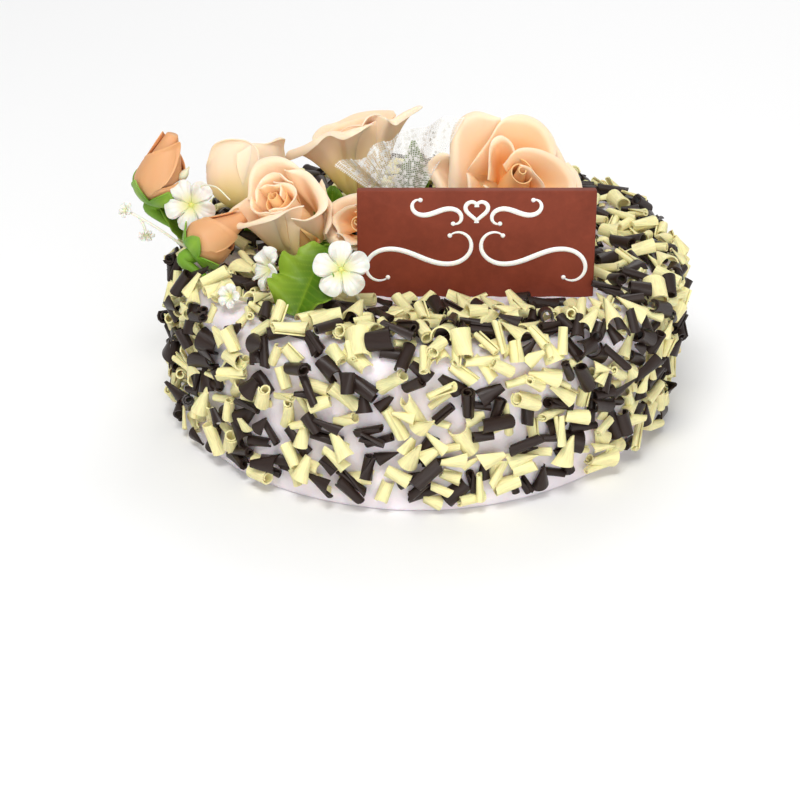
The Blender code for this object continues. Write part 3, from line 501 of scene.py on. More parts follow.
def grid_quads(rows, columns, closed=False):
    """Quads between rows of points, joined end to start where closed."""
    row = np.arange(rows - 1)[:, None] * columns
    column = np.arange(columns if closed else columns - 1)[None, :]
    after = (column + 1) % columns
    corners = (row + column, row + after, row + columns + after, row + columns + column)
    return np.stack(corners, axis=-1).reshape(-1, 4)


def sheet_shell(grid, thickness, **values):
    """A closed thin shell round a grid of points: each face lies half the thickness off it, along
    the cross product of its two directions, and a strip closes the edge."""
    rows, columns = grid.shape[:2]
    count = rows * columns
    normal = unit(np.cross(np.gradient(grid, axis=0), np.gradient(grid, axis=1)))
    half = normal * np.asarray(thickness)[..., None] / 2
    quads = grid_quads(rows, columns)
    edge = np.concatenate([
        np.arange(columns), np.arange(1, rows) * columns + columns - 1,
        (rows - 1) * columns + np.arange(columns - 2, -1, -1), np.arange(rows - 2, 0, -1) * columns])
    after = np.roll(edge, -1)
    rim = np.stack([edge, after, after + count, edge + count], axis=-1)
    points = np.concatenate([(grid + half).reshape(-1, 3), (grid - half).reshape(-1, 3)])
    doubled = {}
    for name, value in values.items():
        flat = np.broadcast_to(value, (rows, columns)).reshape(-1)
        doubled[name] = np.concatenate([flat, flat])
    return shell(points, [quads[:, ::-1], quads + count, rim], **doubled)


def ring_shell(rings, **values):
    """A closed body through rings of points, each end closed by a fan round its middle."""
    rows, sides = rings.shape[:2]
    column = np.arange(sides)
    after = (column + 1) % sides
    first, last = rows * sides, rows * sides + 1
    low = np.stack([np.full(sides, first), after, column], axis=-1)
    high = np.stack([np.full(sides, last), column + (rows - 1) * sides, after + (rows - 1) * sides], axis=-1)
    points = np.concatenate([rings.reshape(-1, 3), rings[0].mean(0)[None], rings[-1].mean(0)[None]])
    full = {}
    for name, value in values.items():
        flat = np.broadcast_to(value, (rows, sides)).reshape(-1)
        full[name] = np.concatenate([flat, flat[:1], flat[-1:]])
    return shell(points, [grid_quads(rows, sides, closed=True), low, high], **full)


def smooth_path(points, count):
    """A curve through the points: between each two, a cubic whose ends head along their neighbours."""
    points = np.array(points, float)
    padded = np.concatenate([2 * points[:1] - points[1:2], points, 2 * points[-1:] - points[-2:-1]])
    place = np.linspace(0, len(points) - 1, count)
    k = np.minimum(place.astype(int), len(points) - 2)
    t = (place - k)[:, None]
    a, b, c, d = padded[k], padded[k + 1], padded[k + 2], padded[k + 3]
    return 0.5 * (2 * b + (c - a) * t + (2 * a - 5 * b + 4 * c - d) * t**2 + (3 * b - a - 3 * c + d) * t**3)


def tube_shell(path, radii, sides=12, side=None, flat=1.0, **values):
    """A round tube along the path: rings square to it, carried along with no twist, flat times as
    thick one way as the other."""
    path = np.array(path, float)
    radii = np.broadcast_to(radii, len(path))
    ahead = unit(np.gradient(path, axis=0))
    side = np.array(Vector(ahead[0]).orthogonal()) if side is None else np.array(side, float)
    sides_at = []
    for way in ahead:
        side = unit(side - way * (side @ way))
        sides_at.append(side)
    side = np.array(sides_at)
    up = np.cross(ahead, side)
    angle = TAU * np.arange(sides) / sides
    across = side[:, None] * np.cos(angle)[:, None] * flat + up[:, None] * np.sin(angle)[:, None]
    return ring_shell(path[:, None] + across * radii[:, None, None], **values)


def ball_shell(centre, radius, rows=7, sides=10, **values):
    """A ball as rings of latitude."""
    latitude = np.linspace(0.06, math.pi - 0.06, rows)[::-1]
    angle = TAU * np.arange(sides) / sides
    rings = np.stack(np.broadcast_arrays(
        np.sin(latitude)[:, None] * np.cos(angle), np.sin(latitude)[:, None] * np.sin(angle),
        np.cos(latitude)[:, None] * np.ones(sides)), axis=-1)
    return ring_shell(np.array(centre) + rings * np.asarray(radius), **values)


def make_piece(name, parts, material, replaced=(), sharp=50):
    """The shells as one mesh object in metres, smooth but for its sharp edges, riding on the cake."""
    whole = joined(parts)
    mesh = bpy.data.meshes.new(name)
    faces = [face for block in whole["faces"] for face in block.tolist()]
    mesh.from_pydata((whole["points"] * MM).tolist(), [], faces)
    for key, value in whole["values"].items():
        kind = "FLOAT_VECTOR" if value.ndim == 2 else "FLOAT"
        field = "vector" if value.ndim == 2 else "value"
        mesh.attributes.new(key, kind, "POINT").data.foreach_set(field, value.astype(np.float32).ravel())
    mesh.shade_smooth()
    mesh.set_sharp_from_angle(angle=math.radians(sharp))
    mesh.materials.append(material)
    obj = bpy.data.objects.new(name, mesh)
    bpy.context.scene.collection.objects.link(obj)
    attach(obj, "root")
    if replaced:
        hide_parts(*replaced)
    return obj


# Material nodes

def node(material, kind, inputs=None, **settings):
    """A new node. An input that is a socket is linked, and any other is set."""
    tree = material.node_tree
    made = tree.nodes.new(kind)
    for name, value in settings.items():
        setattr(made, name, value)
    for name, value in (inputs or {}).items():
        if isinstance(value, bpy.types.NodeSocket):
            tree.links.new(value, made.inputs[name])
        else:
            made.inputs[name].default_value = value
    return made


def principled(name, roughness, **sockets):
    """A new material whose Principled shader has these sockets."""
    material = bpy.data.materials.new(name)
    material.use_nodes = True
    shader = material.node_tree.nodes["Principled BSDF"]
    shader.inputs["Roughness"].default_value = roughness
    for socket, value in sockets.items():
        shader.inputs[socket.replace("_", " ").title().replace("Ior", "IOR")].default_value = value
    return material, shader


def shifted(colour, share):
    """The colour made lighter or darker by a share."""
    return tuple(min(1.0, max(0.0, part * (1 + share))) for part in colour)


def rgba(colour, share=0.0):
    """The colour with full cover, made lighter or darker by a share."""
    return (*shifted(colour, share), 1.0)


def mixed(material, factor, low, high):
    """The colour between two, by the factor."""
    made = node(material, "ShaderNodeMix", data_type="RGBA")
    for index, value in ((0, factor), (6, low), (7, high)):
        if isinstance(value, bpy.types.NodeSocket):
            material.node_tree.links.new(value, made.inputs[index])
        else:
            made.inputs[index].default_value = value
    return made.outputs[2]


def spread(material, value, low, high, to_low=0.0, to_high=1.0):
    """The value with low to high stretched over to_low to to_high."""
    sockets = {"Value": value, "From Min": low, "From Max": high, "To Min": to_low, "To Max": to_high}
    return node(material, "ShaderNodeMapRange", sockets).outputs[0]


def toned(material, factor, colour, low, high):
    """The colour, shifted from the low share to the high one by the factor."""
    return mixed(material, factor, rgba(colour, low), rgba(colour, high))


def noise(material, vector, scale, detail=3.0, rough=0.5):
    """Noise of that many cycles to a metre."""
    sockets = {"Vector": vector, "Scale": scale, "Detail": detail, "Roughness": rough}
    return node(material, "ShaderNodeTexNoise", sockets).outputs[0]


def place_in_piece(material):
    """The place in the piece, in metres."""
    return node(material, "ShaderNodeTexCoord").outputs["Object"]


def attribute(material, name, output="Fac"):
    """The value that the mesh keeps at each point under that name."""
    return node(material, "ShaderNodeAttribute", attribute_name=name).outputs[output]


def colour_it(material, shader, colour, height=None, strength=0.3, distance=0.0004):
    """Links the colour, and a bump where there is a height."""
    link = material.node_tree.links.new
    link(colour, shader.inputs["Base Color"])
    if height is not None:
        sockets = {"Height": height, "Strength": strength, "Distance": distance}
        bump = node(material, "ShaderNodeBump", sockets)
        link(bump.outputs[0], shader.inputs["Normal"])
    return material


def cream_material(settings):
    """Whipped cream: fine grain, tiny pits and a faint warm and cool variation."""
    material, shader = principled("whipped cream", 0.55, subsurface_weight=0.25, subsurface_scale=0.003)
    where = place_in_piece(material)
    cloud = noise(material, where, 60.0)
    colour = toned(material, spread(material, cloud, 0.35, 0.65), settings.colour, -0.07, 0.05)
    grain = noise(material, where, 900.0, 5.0, 0.7)
    return colour_it(material, shader, colour, grain, 0.45, 0.0005)


def chocolate_material(name, colour, roughness, weight):
    """Shaved chocolate: streaks along each shaving from the knife, and cloudy paler patches."""
    material, shader = principled(
        name, roughness, subsurface_weight=weight, subsurface_scale=0.0015, specular_ior_level=0.3)
    grain = attribute(material, "grain", "Vector")
    streaks = noise(material, grain, 1.0, 3.0, 0.6)
    patches = noise(material, place_in_piece(material), 260.0)
    streaked = toned(material, spread(material, streaks, 0.3, 0.7), colour, -0.20, 0.06)
    patchy = mixed(material, spread(material, patches, 0.45, 0.75, 0.0, 0.5), streaked, rgba(colour, 0.12))
    return colour_it(material, shader, patchy, streaks, 0.35, 0.0003)


def plaque_material(settings):
    """Moulded chocolate: matt and mottled, with a fine bloom."""
    material, shader = principled("plaque chocolate", 0.5, specular_ior_level=0.15)
    where = place_in_piece(material)
    cloud = noise(material, where, 45.0, 6.0, 0.6)
    fine = noise(material, where, 420.0, 4.0, 0.65)
    base = toned(material, spread(material, cloud, 0.35, 0.68), settings.colour, -0.16, 0.14)
    bloom = spread(material, fine, 0.45, 0.8, 0.0, 0.4)
    colour = mixed(material, bloom, base, rgba(settings.colour, 0.35))
    return colour_it(material, shader, colour, fine, 0.18, 0.0003)


def icing_material(settings):
    """White piping, faintly lumpy."""
    material, shader = principled("white icing", 0.35, subsurface_weight=0.2, subsurface_scale=0.001)
    lumps = noise(material, place_in_piece(material), 500.0)
    colour = toned(material, lumps, settings.icing, -0.05, 0.0)
    return colour_it(material, shader, colour, lumps, 0.15, 0.0002)


def petal_material(name, pale, peach, deep, foot):
    """Sugar paste: pale at the edge and deeper inside, partly the paste's tint and partly painted bounce
    light in the folds, dusted yellow-green at the petals' feet.
    """
    material, shader = principled(
        name, 0.5, subsurface_weight=0.3, subsurface_scale=0.0025, subsurface_radius=(1.0, 0.45, 0.2))
    depth = attribute(material, "depth")
    where = place_in_piece(material)
    cloud = noise(material, where, 90.0)
    edge = mixed(material, spread(material, depth, 0.0, 0.5), rgba(pale), rgba(peach))
    inside = mixed(material, spread(material, depth, 0.5, 1.0), edge, rgba(deep))
    dust = spread(material, attribute(material, "foot"), 0.0, 1.0, 0.0, 0.85)
    dusted = mixed(material, dust, inside, rgba(foot))
    colour = mixed(material, spread(material, cloud, 0.3, 0.7, 0.0, 0.12), dusted, rgba(pale))
    powder = noise(material, where, 1500.0, 3.0)
    return colour_it(material, shader, colour, powder, 0.12, 0.0002)


def leaf_material(name, colour, most_light):
    """Green sugar paste: lighter along the midrib, at the ruffled edge and where light is painted on a lit
    side, uneven between.
    """
    material, shader = principled(
        name, 0.42, subsurface_weight=0.2, subsurface_scale=0.002, subsurface_radius=(0.5, 1.0, 0.2),
        specular_ior_level=0.25)
    where = place_in_piece(material)
    cloud = noise(material, where, 130.0, 4.0)
    light = (colour[0] * 2.4 + 0.08, colour[1] * 1.7 + 0.08, colour[2] * 2.5 + 0.02)
    patchy = toned(material, spread(material, cloud, 0.35, 0.7), colour, -0.25, 0.0)
    # The light attribute mixes the paste's lighter midrib and veins with painted light on a leaf's lit side.
    lit = spread(material, attribute(material, "light"), 0.0, 1.0, 0.0, most_light)
    veined = mixed(material, lit, patchy, rgba(light))
    return colour_it(material, shader, veined, noise(material, where, 700.0), 0.12, 0.0003)


def blossom_material(settings):
    """White sugar paste that turns yellow-green at the heart."""
    material, shader = principled("white sugar paste", 0.45, subsurface_weight=0.3, subsurface_scale=0.002)
    heart = spread(material, attribute(material, "heart"), 0.0, 1.0)
    colour = mixed(material, heart, rgba(settings.white), rgba(settings.heart))
    powder = noise(material, place_in_piece(material), 1200.0)
    return colour_it(material, shader, colour, powder, 0.15, 0.0002)


def tulle_material(settings):
    """Net: threads in a square weave along the cloth, clear between them."""
    material, shader = principled("net", 0.35)
    weave = attribute(material, "weave", "Vector")
    cells = node(material, "ShaderNodeTexVoronoi", {"Vector": weave, "Scale": 1.1, "Randomness": 0.2},
                 feature="DISTANCE_TO_EDGE").outputs["Distance"]
    thread = spread(material, cells, 0.06, 0.16, 0.8, settings.cover)
    material.node_tree.links.new(thread, shader.inputs["Alpha"])
    cloud = noise(material, place_in_piece(material), 150.0)
    return colour_it(material, shader, toned(material, cloud, settings.colour, -0.1, 0.0))


def flake_material():
    """Silvery flakes, some duller than others."""
    material, shader = principled("silver flakes", 0.2)
    tone = noise(material, place_in_piece(material), 700.0)
    return colour_it(material, shader, mixed(material, tone, rgba(DULL_FLAKE), rgba(BRIGHT_FLAKE)))


# Cream and curls

def skin_radius(angle, height):
    """The cake's radius at a height: full above, and drawn in at the foot of its right side."""
    lean = LEAN_IN_RIGHT * smooth((np.cos(angle) + 0.2) / 1.2)
    return CAKE_RADIUS - lean * (1 - height / CAKE_HEIGHT)


def cream_profile(step):
    """The skin's inset and height from the foot, up the wall and round the rim."""
    foot = np.linspace(0, math.pi / 2, 5)
    wall = np.arange(FOOT_ROUND + step, CAKE_HEIGHT - RIM_ROUND, step)
    rim = np.linspace(0, math.pi / 2, 13)
    inset = np.concatenate([FOOT_ROUND * (1 - np.sin(foot)), 0 * wall, RIM_ROUND * (1 - np.cos(rim))])
    height = np.concatenate([
        FOOT_ROUND * (1 - np.cos(foot)), wall, CAKE_HEIGHT - RIM_ROUND * (1 - np.sin(rim))])
    return inset, height


def cream_shell(wave):
    """The iced cake as a function of the angle round it and the way up its wall and in over its
    top. Sines at odd directions wave the skin like a palette knife's strokes."""
    inset, height = cream_profile(1.6)
    inwards = np.linspace(RIM_ROUND, CAKE_RADIUS - 0.5, 56)[1:]
    inset = np.concatenate([inset, inwards])
    height = np.concatenate([height, np.full(len(inwards), CAKE_HEIGHT)])
    angle = np.linspace(0, TAU, 361)[:-1]
    turn, up, gap = angle[None], height[:, None], inset[:, None]
    radius = skin_radius(turn, up) - gap
    stroke = bumps(turn * CAKE_RADIUS / 5.0, (up - gap) / 3.0, 3)
    stroke = stroke + 0.6 * bumps(turn * CAKE_RADIUS / 2.2, (up - gap) / 2.2, 5)
    stroke = wave * stroke * smooth((up - 1.5) / 3.0)
    on_top = smooth((gap - 0.3 * RIM_ROUND) / (0.7 * RIM_ROUND))
    radius = radius + stroke * (1 - on_top)
    up = up + stroke * on_top * smooth((CAKE_RADIUS - gap) / 20.0) * 0.8
    rings = np.stack(np.broadcast_arrays(radius * np.cos(turn), radius * np.sin(turn), up), axis=-1)
    return ring_shell(rings)


def surface_place(on_side, angle, share):
    """Where a curl lies: a point of the skin, the way out of it and a direction in it."""
    outwards = np.array([math.cos(angle), math.sin(angle), 0.0])
    above = np.array([0.0, 0.0, 1.0])
    if on_side:
        height = 4.0 + (CAKE_HEIGHT - 8.0) * share
        return outwards * skin_radius(angle, height) + above * height, outwards, above, 0.0
    radius = (CAKE_RADIUS - 3.5) * math.sqrt(share)
    sink = 1.5 if radius > CAKE_RADIUS - RIM_ROUND else 0.0
    return outwards * radius + above * CAKE_HEIGHT, above, outwards, sink


def leaning(normal, upper, turn, tilt):
    """The direction that lies on the skin at the turn and stands off it by the tilt."""
    flat = upper * math.sin(turn) + np.cross(normal, upper) * math.cos(turn)
    return flat * math.cos(tilt) + normal * math.sin(tilt)


def curl_place(draw, side_share):
    """One draw of seven numbers as a large curl on the skin: the point that it lies on, its centre,
    its direction, the way out, its length and its diameter."""
    length, diameter = between(CURL_LENGTH, draw[3]), between(CURL_DIAMETER, draw[4])
    point, normal, upper, sink = surface_place(draw[0] < side_share, TAU * draw[1], draw[2])
    tilt = math.radians(24.0) * (draw[6] - 0.3)
    direction = leaning(normal, upper, math.pi * draw[5], tilt)
    lift = 0.5 * diameter - 0.16 * diameter - sink + 0.3 * length * abs(math.sin(tilt))
    return point, point + normal * lift, direction, normal, length, diameter


def fill_place(on_side, draw):
    """One draw as a smaller curl, on the wall and the rim's lower part, or on the top and the rim's
    upper part: its centre, its direction, the way out, its length and its diameter."""
    outwards = np.array([math.cos(TAU * draw[1]), math.sin(TAU * draw[1]), 0.0])
    above = np.array([0.0, 0.0, 1.0])
    wall = CAKE_HEIGHT - RIM_ROUND
    if on_side:
        climbed = 3.0 + (wall + 0.8 * RIM_ROUND - 3.0) * draw[2]
        turned = max(0.0, climbed - wall) / RIM_ROUND
        height = min(climbed, wall) + RIM_ROUND * math.sin(turned)
        radius = skin_radius(TAU * draw[1], height) - RIM_ROUND * (1 - math.cos(turned))
    else:
        radius = (CAKE_RADIUS - 0.3 * RIM_ROUND) * math.sqrt(draw[2])
        turned = math.acos(min(1.0, max(0.0, radius - CAKE_RADIUS + RIM_ROUND) / RIM_ROUND))
        height = CAKE_HEIGHT - RIM_ROUND * (1 - math.sin(turned))
    normal = outwards * math.cos(turned) + above * math.sin(turned)
    upper = above * math.cos(turned) - outwards * math.sin(turned)
    length, diameter = between(FILL_LENGTH, draw[3]), between(FILL_DIAMETER, draw[4])
    tilt = math.radians(46.0) * (draw[6] - 0.5)
    direction = leaning(normal, upper, math.pi * draw[5], tilt)
    lift = 0.3 * diameter + 0.25 * length * abs(math.sin(tilt))
    return outwards * radius + above * height + normal * lift, direction, normal, length, diameter


def decoration_tree():
    """One tree over every CAD node but the cake, in millimetres."""
    points, faces, start = [], [], 0
    for name, obj in frame["nodes"].items():
        if name == "cake":
            continue
        obj.data.calc_loop_triangles()
        points += [tuple(v.co / MM) for v in obj.data.vertices]
        faces += [tuple(i + start for i in t.vertices) for t in obj.data.loop_triangles]
        start = len(points)
    return BVHTree.FromPolygons(points, faces)


def is_clear(tree, centre, direction, length, reach):
    """Whether nothing comes within reach of the curl's middle line."""
    for share in np.linspace(-0.5, 0.5, 9):
        if tree.find_nearest(Vector(centre + direction * length * share), reach)[0] is not None:
            return False
    return True


class CurlHeap:
    """The curls laid so far, and how near a new one comes to them."""

    def __init__(self, most):
        """An empty heap with room for the most curls."""
        self.count = 0
        self.lines = np.zeros((most, 5, 3))
        self.radii = np.zeros(most)
        self.rows = []

    def line(self, centre, direction, length):
        """Five points along a curl."""
        return centre + direction * (length * np.linspace(-0.44, 0.44, 5))[:, None]

    def free(self, centre, direction, length, diameter, slack):
        """Whether the curl stays off the others, whose tubes it may touch by the slack."""
        lines, radii = self.lines[:self.count], self.radii[:self.count]
        near = np.abs(lines[:, 2] - centre).max(axis=1) < CURL_NEIGHBOURS
        if not near.any():
            return True
        line = self.line(centre, direction, length)
        apart = np.linalg.norm(lines[near][:, :, None] - line[None, None], axis=-1).min(axis=(1, 2))
        return bool((apart > slack * (radii[near] + diameter / 2)).all())

    def add(self, centre, direction, normal, length, diameter):
        """Lays a curl."""
        self.lines[self.count] = self.line(centre, direction, length)
        self.radii[self.count] = diameter / 2
        self.rows.append((*centre, *direction, *normal, length, diameter))
        self.count += 1


def before_plaque(point):
    """Whether a curl would hide the plaque's lower edge: it lies in front of it, and too high."""
    side, front, rise = PLAQUE_APRON
    beside = abs(point[0] - PLAQUE_CENTRE_X) < PLAQUE_WIDTH / 2 + side
    return beside and front < point[1] < PLAQUE_FACE_Y and point[2] > CAKE_HEIGHT + rise


def scattered_curls(settings):
    """All curls. The largest come first, by the solid's own rule, and then smaller ones fill the
    gaps: each takes the lowest lift at which it clears those already there."""
    tree = decoration_tree()
    heap = CurlHeap(CURL_COUNT + settings.side_count + settings.top_count + 10)
    side_share = 2 * CAKE_HEIGHT / (2 * CAKE_HEIGHT + CAKE_RADIUS)
    points = np.zeros((0, 3))
    for draw in np.random.default_rng(CURL_SEED).random((CURL_TRIES, 7)):
        point, centre, direction, normal, length, diameter = curl_place(draw, side_share)
        if len(points) and np.linalg.norm(points - point, axis=1).min() < CURL_SPACING:
            continue
        points = np.vstack([points, point])
        lowest = centre[2] - abs(direction[2]) * length / 2 - CURL_REACH * diameter
        reach = CURL_REACH * diameter + CURL_GAP
        if lowest > FLOOR_GAP and is_clear(tree, centre, direction, length, reach):
            heap.add(centre, direction, normal, length, diameter)
        if heap.count >= CURL_COUNT:
            break
    random = np.random.default_rng(FILL_SEED)
    areas = ((True, settings.side_count, FILL_LIFTS), (False, settings.top_count, TOP_LIFTS))
    for on_side, most, lifts in areas:
        start = heap.count
        for draw in random.random((most * 8, 7)):
            if heap.count - start >= most:
                break
            centre, direction, normal, length, diameter = fill_place(on_side, draw)
            for lift in lifts:
                raised = centre + normal * lift
                if before_plaque(raised):
                    break
                if heap.free(raised, direction, length, diameter, FILL_SLACK):
                    lowest = raised[2] - abs(direction[2]) * length / 2 - FILL_DROP * diameter
                    reach = FILL_REACH * diameter + FILL_GAP
                    if lowest > FLOOR_GAP and is_clear(tree, raised, direction, length, reach):
                        heap.add(raised, direction, normal, length, diameter)
                    break
    return np.array(heap.rows)


def curl_shell(rows, seed, wall):
    """Shavings as a function of s across the shaving and h along the curl, all at once.

    The section is a spiral: its angle grows with s by the turns, and its radius shrinks so that
    the turns don't meet. A twist makes the spiral's edge run aslant, one end is wider than the
    other, and each end is cut at a slant.
    """
    random = np.random.default_rng(seed)
    count = len(rows)
    centre, direction, normal = rows[:, 0:3], rows[:, 3:6], rows[:, 6:9]

    def each(values):
        """One value for each curl, beside the grid of its points."""
        return values[:, None, None, None]

    def drawn(low, high):
        """A random number for each curl."""
        return each(random.uniform(low, high, count))

    length, diameter = each(rows[:, 9]), each(rows[:, 10])
    form = each(random.random(count))
    rolled, pointed = form < 0.55, form > 0.72
    turns = np.where(rolled, drawn(1.05, 1.7), drawn(0.5, 0.85))
    turns = np.where(pointed, drawn(0.34, 0.6), turns)
    point = np.where(pointed, drawn(0.6, 0.95), drawn(-0.1, 0.25))
    start = np.where(turns < 0.9, math.pi / 2 - math.pi * turns, drawn(0, TAU)) + drawn(-0.4, 0.4)
    twist, taper = drawn(-0.9, 0.9), drawn(-0.28, 0.28)
    slant, phase = drawn(-0.16, 0.16), drawn(0, TAU)
    layer = np.array([0.0, 1.0])[None, :, None, None]
    h = np.array([0.0, 1.0])[None, None, :, None]
    s = np.linspace(0, 1, CURL_POINTS)[None, None, None, :]
    flatter = np.where(turns < 0.62, 1.55, np.where(turns < 1, 1.12, 1.0))
    outer = diameter / 2 * flatter
    wind = np.where(turns < 1, 0.12, turns * 1.45 * wall / outer)
    angle = start + TAU * turns * (0.5 + (s - 0.5) * (1 - point * h)) + twist * (h - 0.5)
    radius = np.maximum(outer * (1 - wind * s), 0.35) * (1 + taper * (h - 0.5)) - layer * wall
    radius = np.maximum(radius, 0.12)
    along = (h - 0.5) * length * (1 + slant * np.cos(angle + phase)) + 0 * layer
    across = radius * np.cos(angle)
    up = radius * np.sin(angle) - (flatter - 1) * diameter / 2
    tall = unit(normal - direction * (normal * direction).sum(1, keepdims=True))
    side = np.cross(tall, direction)
    parts = zip((across, up, along), (side, tall, direction))
    points = each(centre) + sum(part[..., None] * each(way) for part, way in parts)
    step = 2 * CURL_POINTS
    column = np.arange(CURL_POINTS - 1)
    quads = grid_quads(2, CURL_POINTS)
    low, high, inner = column, column + CURL_POINTS, step
    last = CURL_POINTS - 1
    one = np.concatenate([
        quads, quads[:, ::-1] + inner,
        np.stack([low + 1, low, low + inner, low + 1 + inner], axis=-1),
        np.stack([high, high + 1, high + 1 + inner, high + inner], axis=-1),
        np.array([[0, CURL_POINTS, CURL_POINTS + inner, inner],
                  [last + CURL_POINTS, last, last + inner, last + CURL_POINTS + inner]])])
    faces = (one[None] + (np.arange(count) * 2 * step)[:, None, None]).reshape(-1, 4)
    arc = s * turns * diameter * 3.0 + 0 * layer + 0 * h
    grain = np.stack(np.broadcast_arrays(arc * 2.2, along * 0.18, each(np.arange(count)) * 3.7), axis=-1)
    return shell(points, [faces], grain=grain.reshape(-1, 3))


# Plaque

def scroll_line(middle, heading, length, bend, points=121):
    """An S-scroll: a flat curve whose bend falls evenly from one end to its opposite at the other."""
    fine = np.linspace(-0.5, 0.5, 401) * length
    way = math.radians(heading) - bend * fine**2 / length
    ahead = (way[1:] + way[:-1]) / 2
    x = np.concatenate([[0], np.cumsum(np.cos(ahead) * np.diff(fine))])
    z = np.concatenate([[0], np.cumsum(np.sin(ahead) * np.diff(fine))])
    picked = np.linspace(0, 400, points).astype(int)
    return np.stack([x - x[200] + middle[0], z - z[200] + middle[1]], axis=-1)[picked]


def heart_line(middle, width, points=61):
    """The right half of a heart, as sines and cosines of t from its cleft to its tip."""
    t = np.linspace(0.0, math.pi, points)
    x = 16 * np.sin(t) ** 3
    z = 13 * np.cos(t) - 5 * np.cos(2 * t) - 2 * np.cos(3 * t) - np.cos(4 * t)
    return np.stack([x, z], axis=-1) * width / 32 + np.array([-HEART_OVERLAP, middle])


def on_plaque(line, side, out=PIPING_SUNK):
    """A flat line on the plaque's face, mirrored for the left."""
    y = np.full(len(line), PLAQUE_FACE_Y + out)
    return np.stack([PLAQUE_CENTRE_X + side * line[:, 0], y, PLAQUE_MIDDLE + line[:, 1]], axis=-1)


def slab_shell():
    """The slab as rounded rectangles, one inside the next from the front face round to the back."""
    bottom = CAKE_HEIGHT - PLAQUE_DEPTH_IN_CREAM + GAP
    half = np.array([PLAQUE_WIDTH / 2, (PLAQUE_TOP - bottom) / 2])
    middle = np.array([PLAQUE_CENTRE_X, (PLAQUE_TOP + bottom) / 2])
    corner, edge = 0.9, 0.5
    turn = np.linspace(0, math.pi / 2, 5)
    rings = []
    for depth in (0, 1):
        for tilt in (turn if depth == 0 else turn[::-1]):
            inset = edge * (1 - math.sin(tilt))
            rounded = edge * (1 - math.cos(tilt))
            y = PLAQUE_FACE_Y + (rounded if depth == 0 else PLAQUE_THICKNESS - rounded)
            ring = []
            for quarter in range(4):
                angle = turn + quarter * math.pi / 2
                diagonal = quarter * math.pi / 2 + 0.7
                way = np.sign([math.cos(diagonal), math.sin(diagonal)])
                centre = way * (half - inset - corner)
                ring.append(centre + corner * np.stack([np.cos(angle), np.sin(angle)], axis=-1))
            flat = np.concatenate(ring)
            x, z = middle[0] + flat[:, 0], middle[1] + flat[:, 1]
            rings.append(np.stack([x, np.full(len(flat), y), z], axis=-1))
    return ring_shell(np.array(rings)[:, ::-1])


def piping_shells(width):
    """Each line as a low rounded bead, full in the middle and fine at its ends, with a dot where
    the icing stops."""
    parts = []
    lines = [(scroll_line(**made), 1.0) for made in STROKES]
    lines.append((heart_line(**HEART), 0.8))
    for line, size in lines:
        t = np.linspace(0, 1, len(line))
        body = 0.42 + 0.58 * np.sin(math.pi * t) ** 0.8
        if size < 1:
            body = 0.72 + 0.28 * np.sin(math.pi * t)
        for side in (-1, 1):
            path = on_plaque(line, side)
            parts.append(tube_shell(path, body * width / 2 * size, sides=12, side=(0, -1, 0), flat=0.62))
            if size == 1:
                for end in (0, -1):
                    parts.append(ball_shell(path[end], np.array([0.42, 0.34, 0.42]) * width, 9, 14))
    return parts


# Flowers

def midline(length, tilts):
    """A lobe's midline as its share, radius, height and tilt at even steps: it turns from the base
    tilt to the cup tilt to the lip tilt."""
    base, cup, lip = np.radians(tilts)
    t = np.linspace(0.0, 1.0, 121)
    tilt = cup + (base - cup) * np.clip(1 - t / 0.4, 0, 1) ** 1.5 + (lip - cup) * smooth((t - 0.5) / 0.5)
    step = length / 120
    out = np.concatenate([[0], np.cumsum((np.sin(tilt[1:]) + np.sin(tilt[:-1])) / 2 * step)])
    rise = np.concatenate([[0], np.cumsum((np.cos(tilt[1:]) + np.cos(tilt[:-1])) / 2 * step)])
    return t, out, rise, tilt


def seen_axes():
    """Right, up and nearer as the camera sees them, one direction in each row."""
    rise = math.radians(CAMERA_ELEVATION)
    return np.array([(1, 0, 0), (0, math.sin(rise), math.cos(rise)), (0, -math.cos(rise), math.sin(rise))])


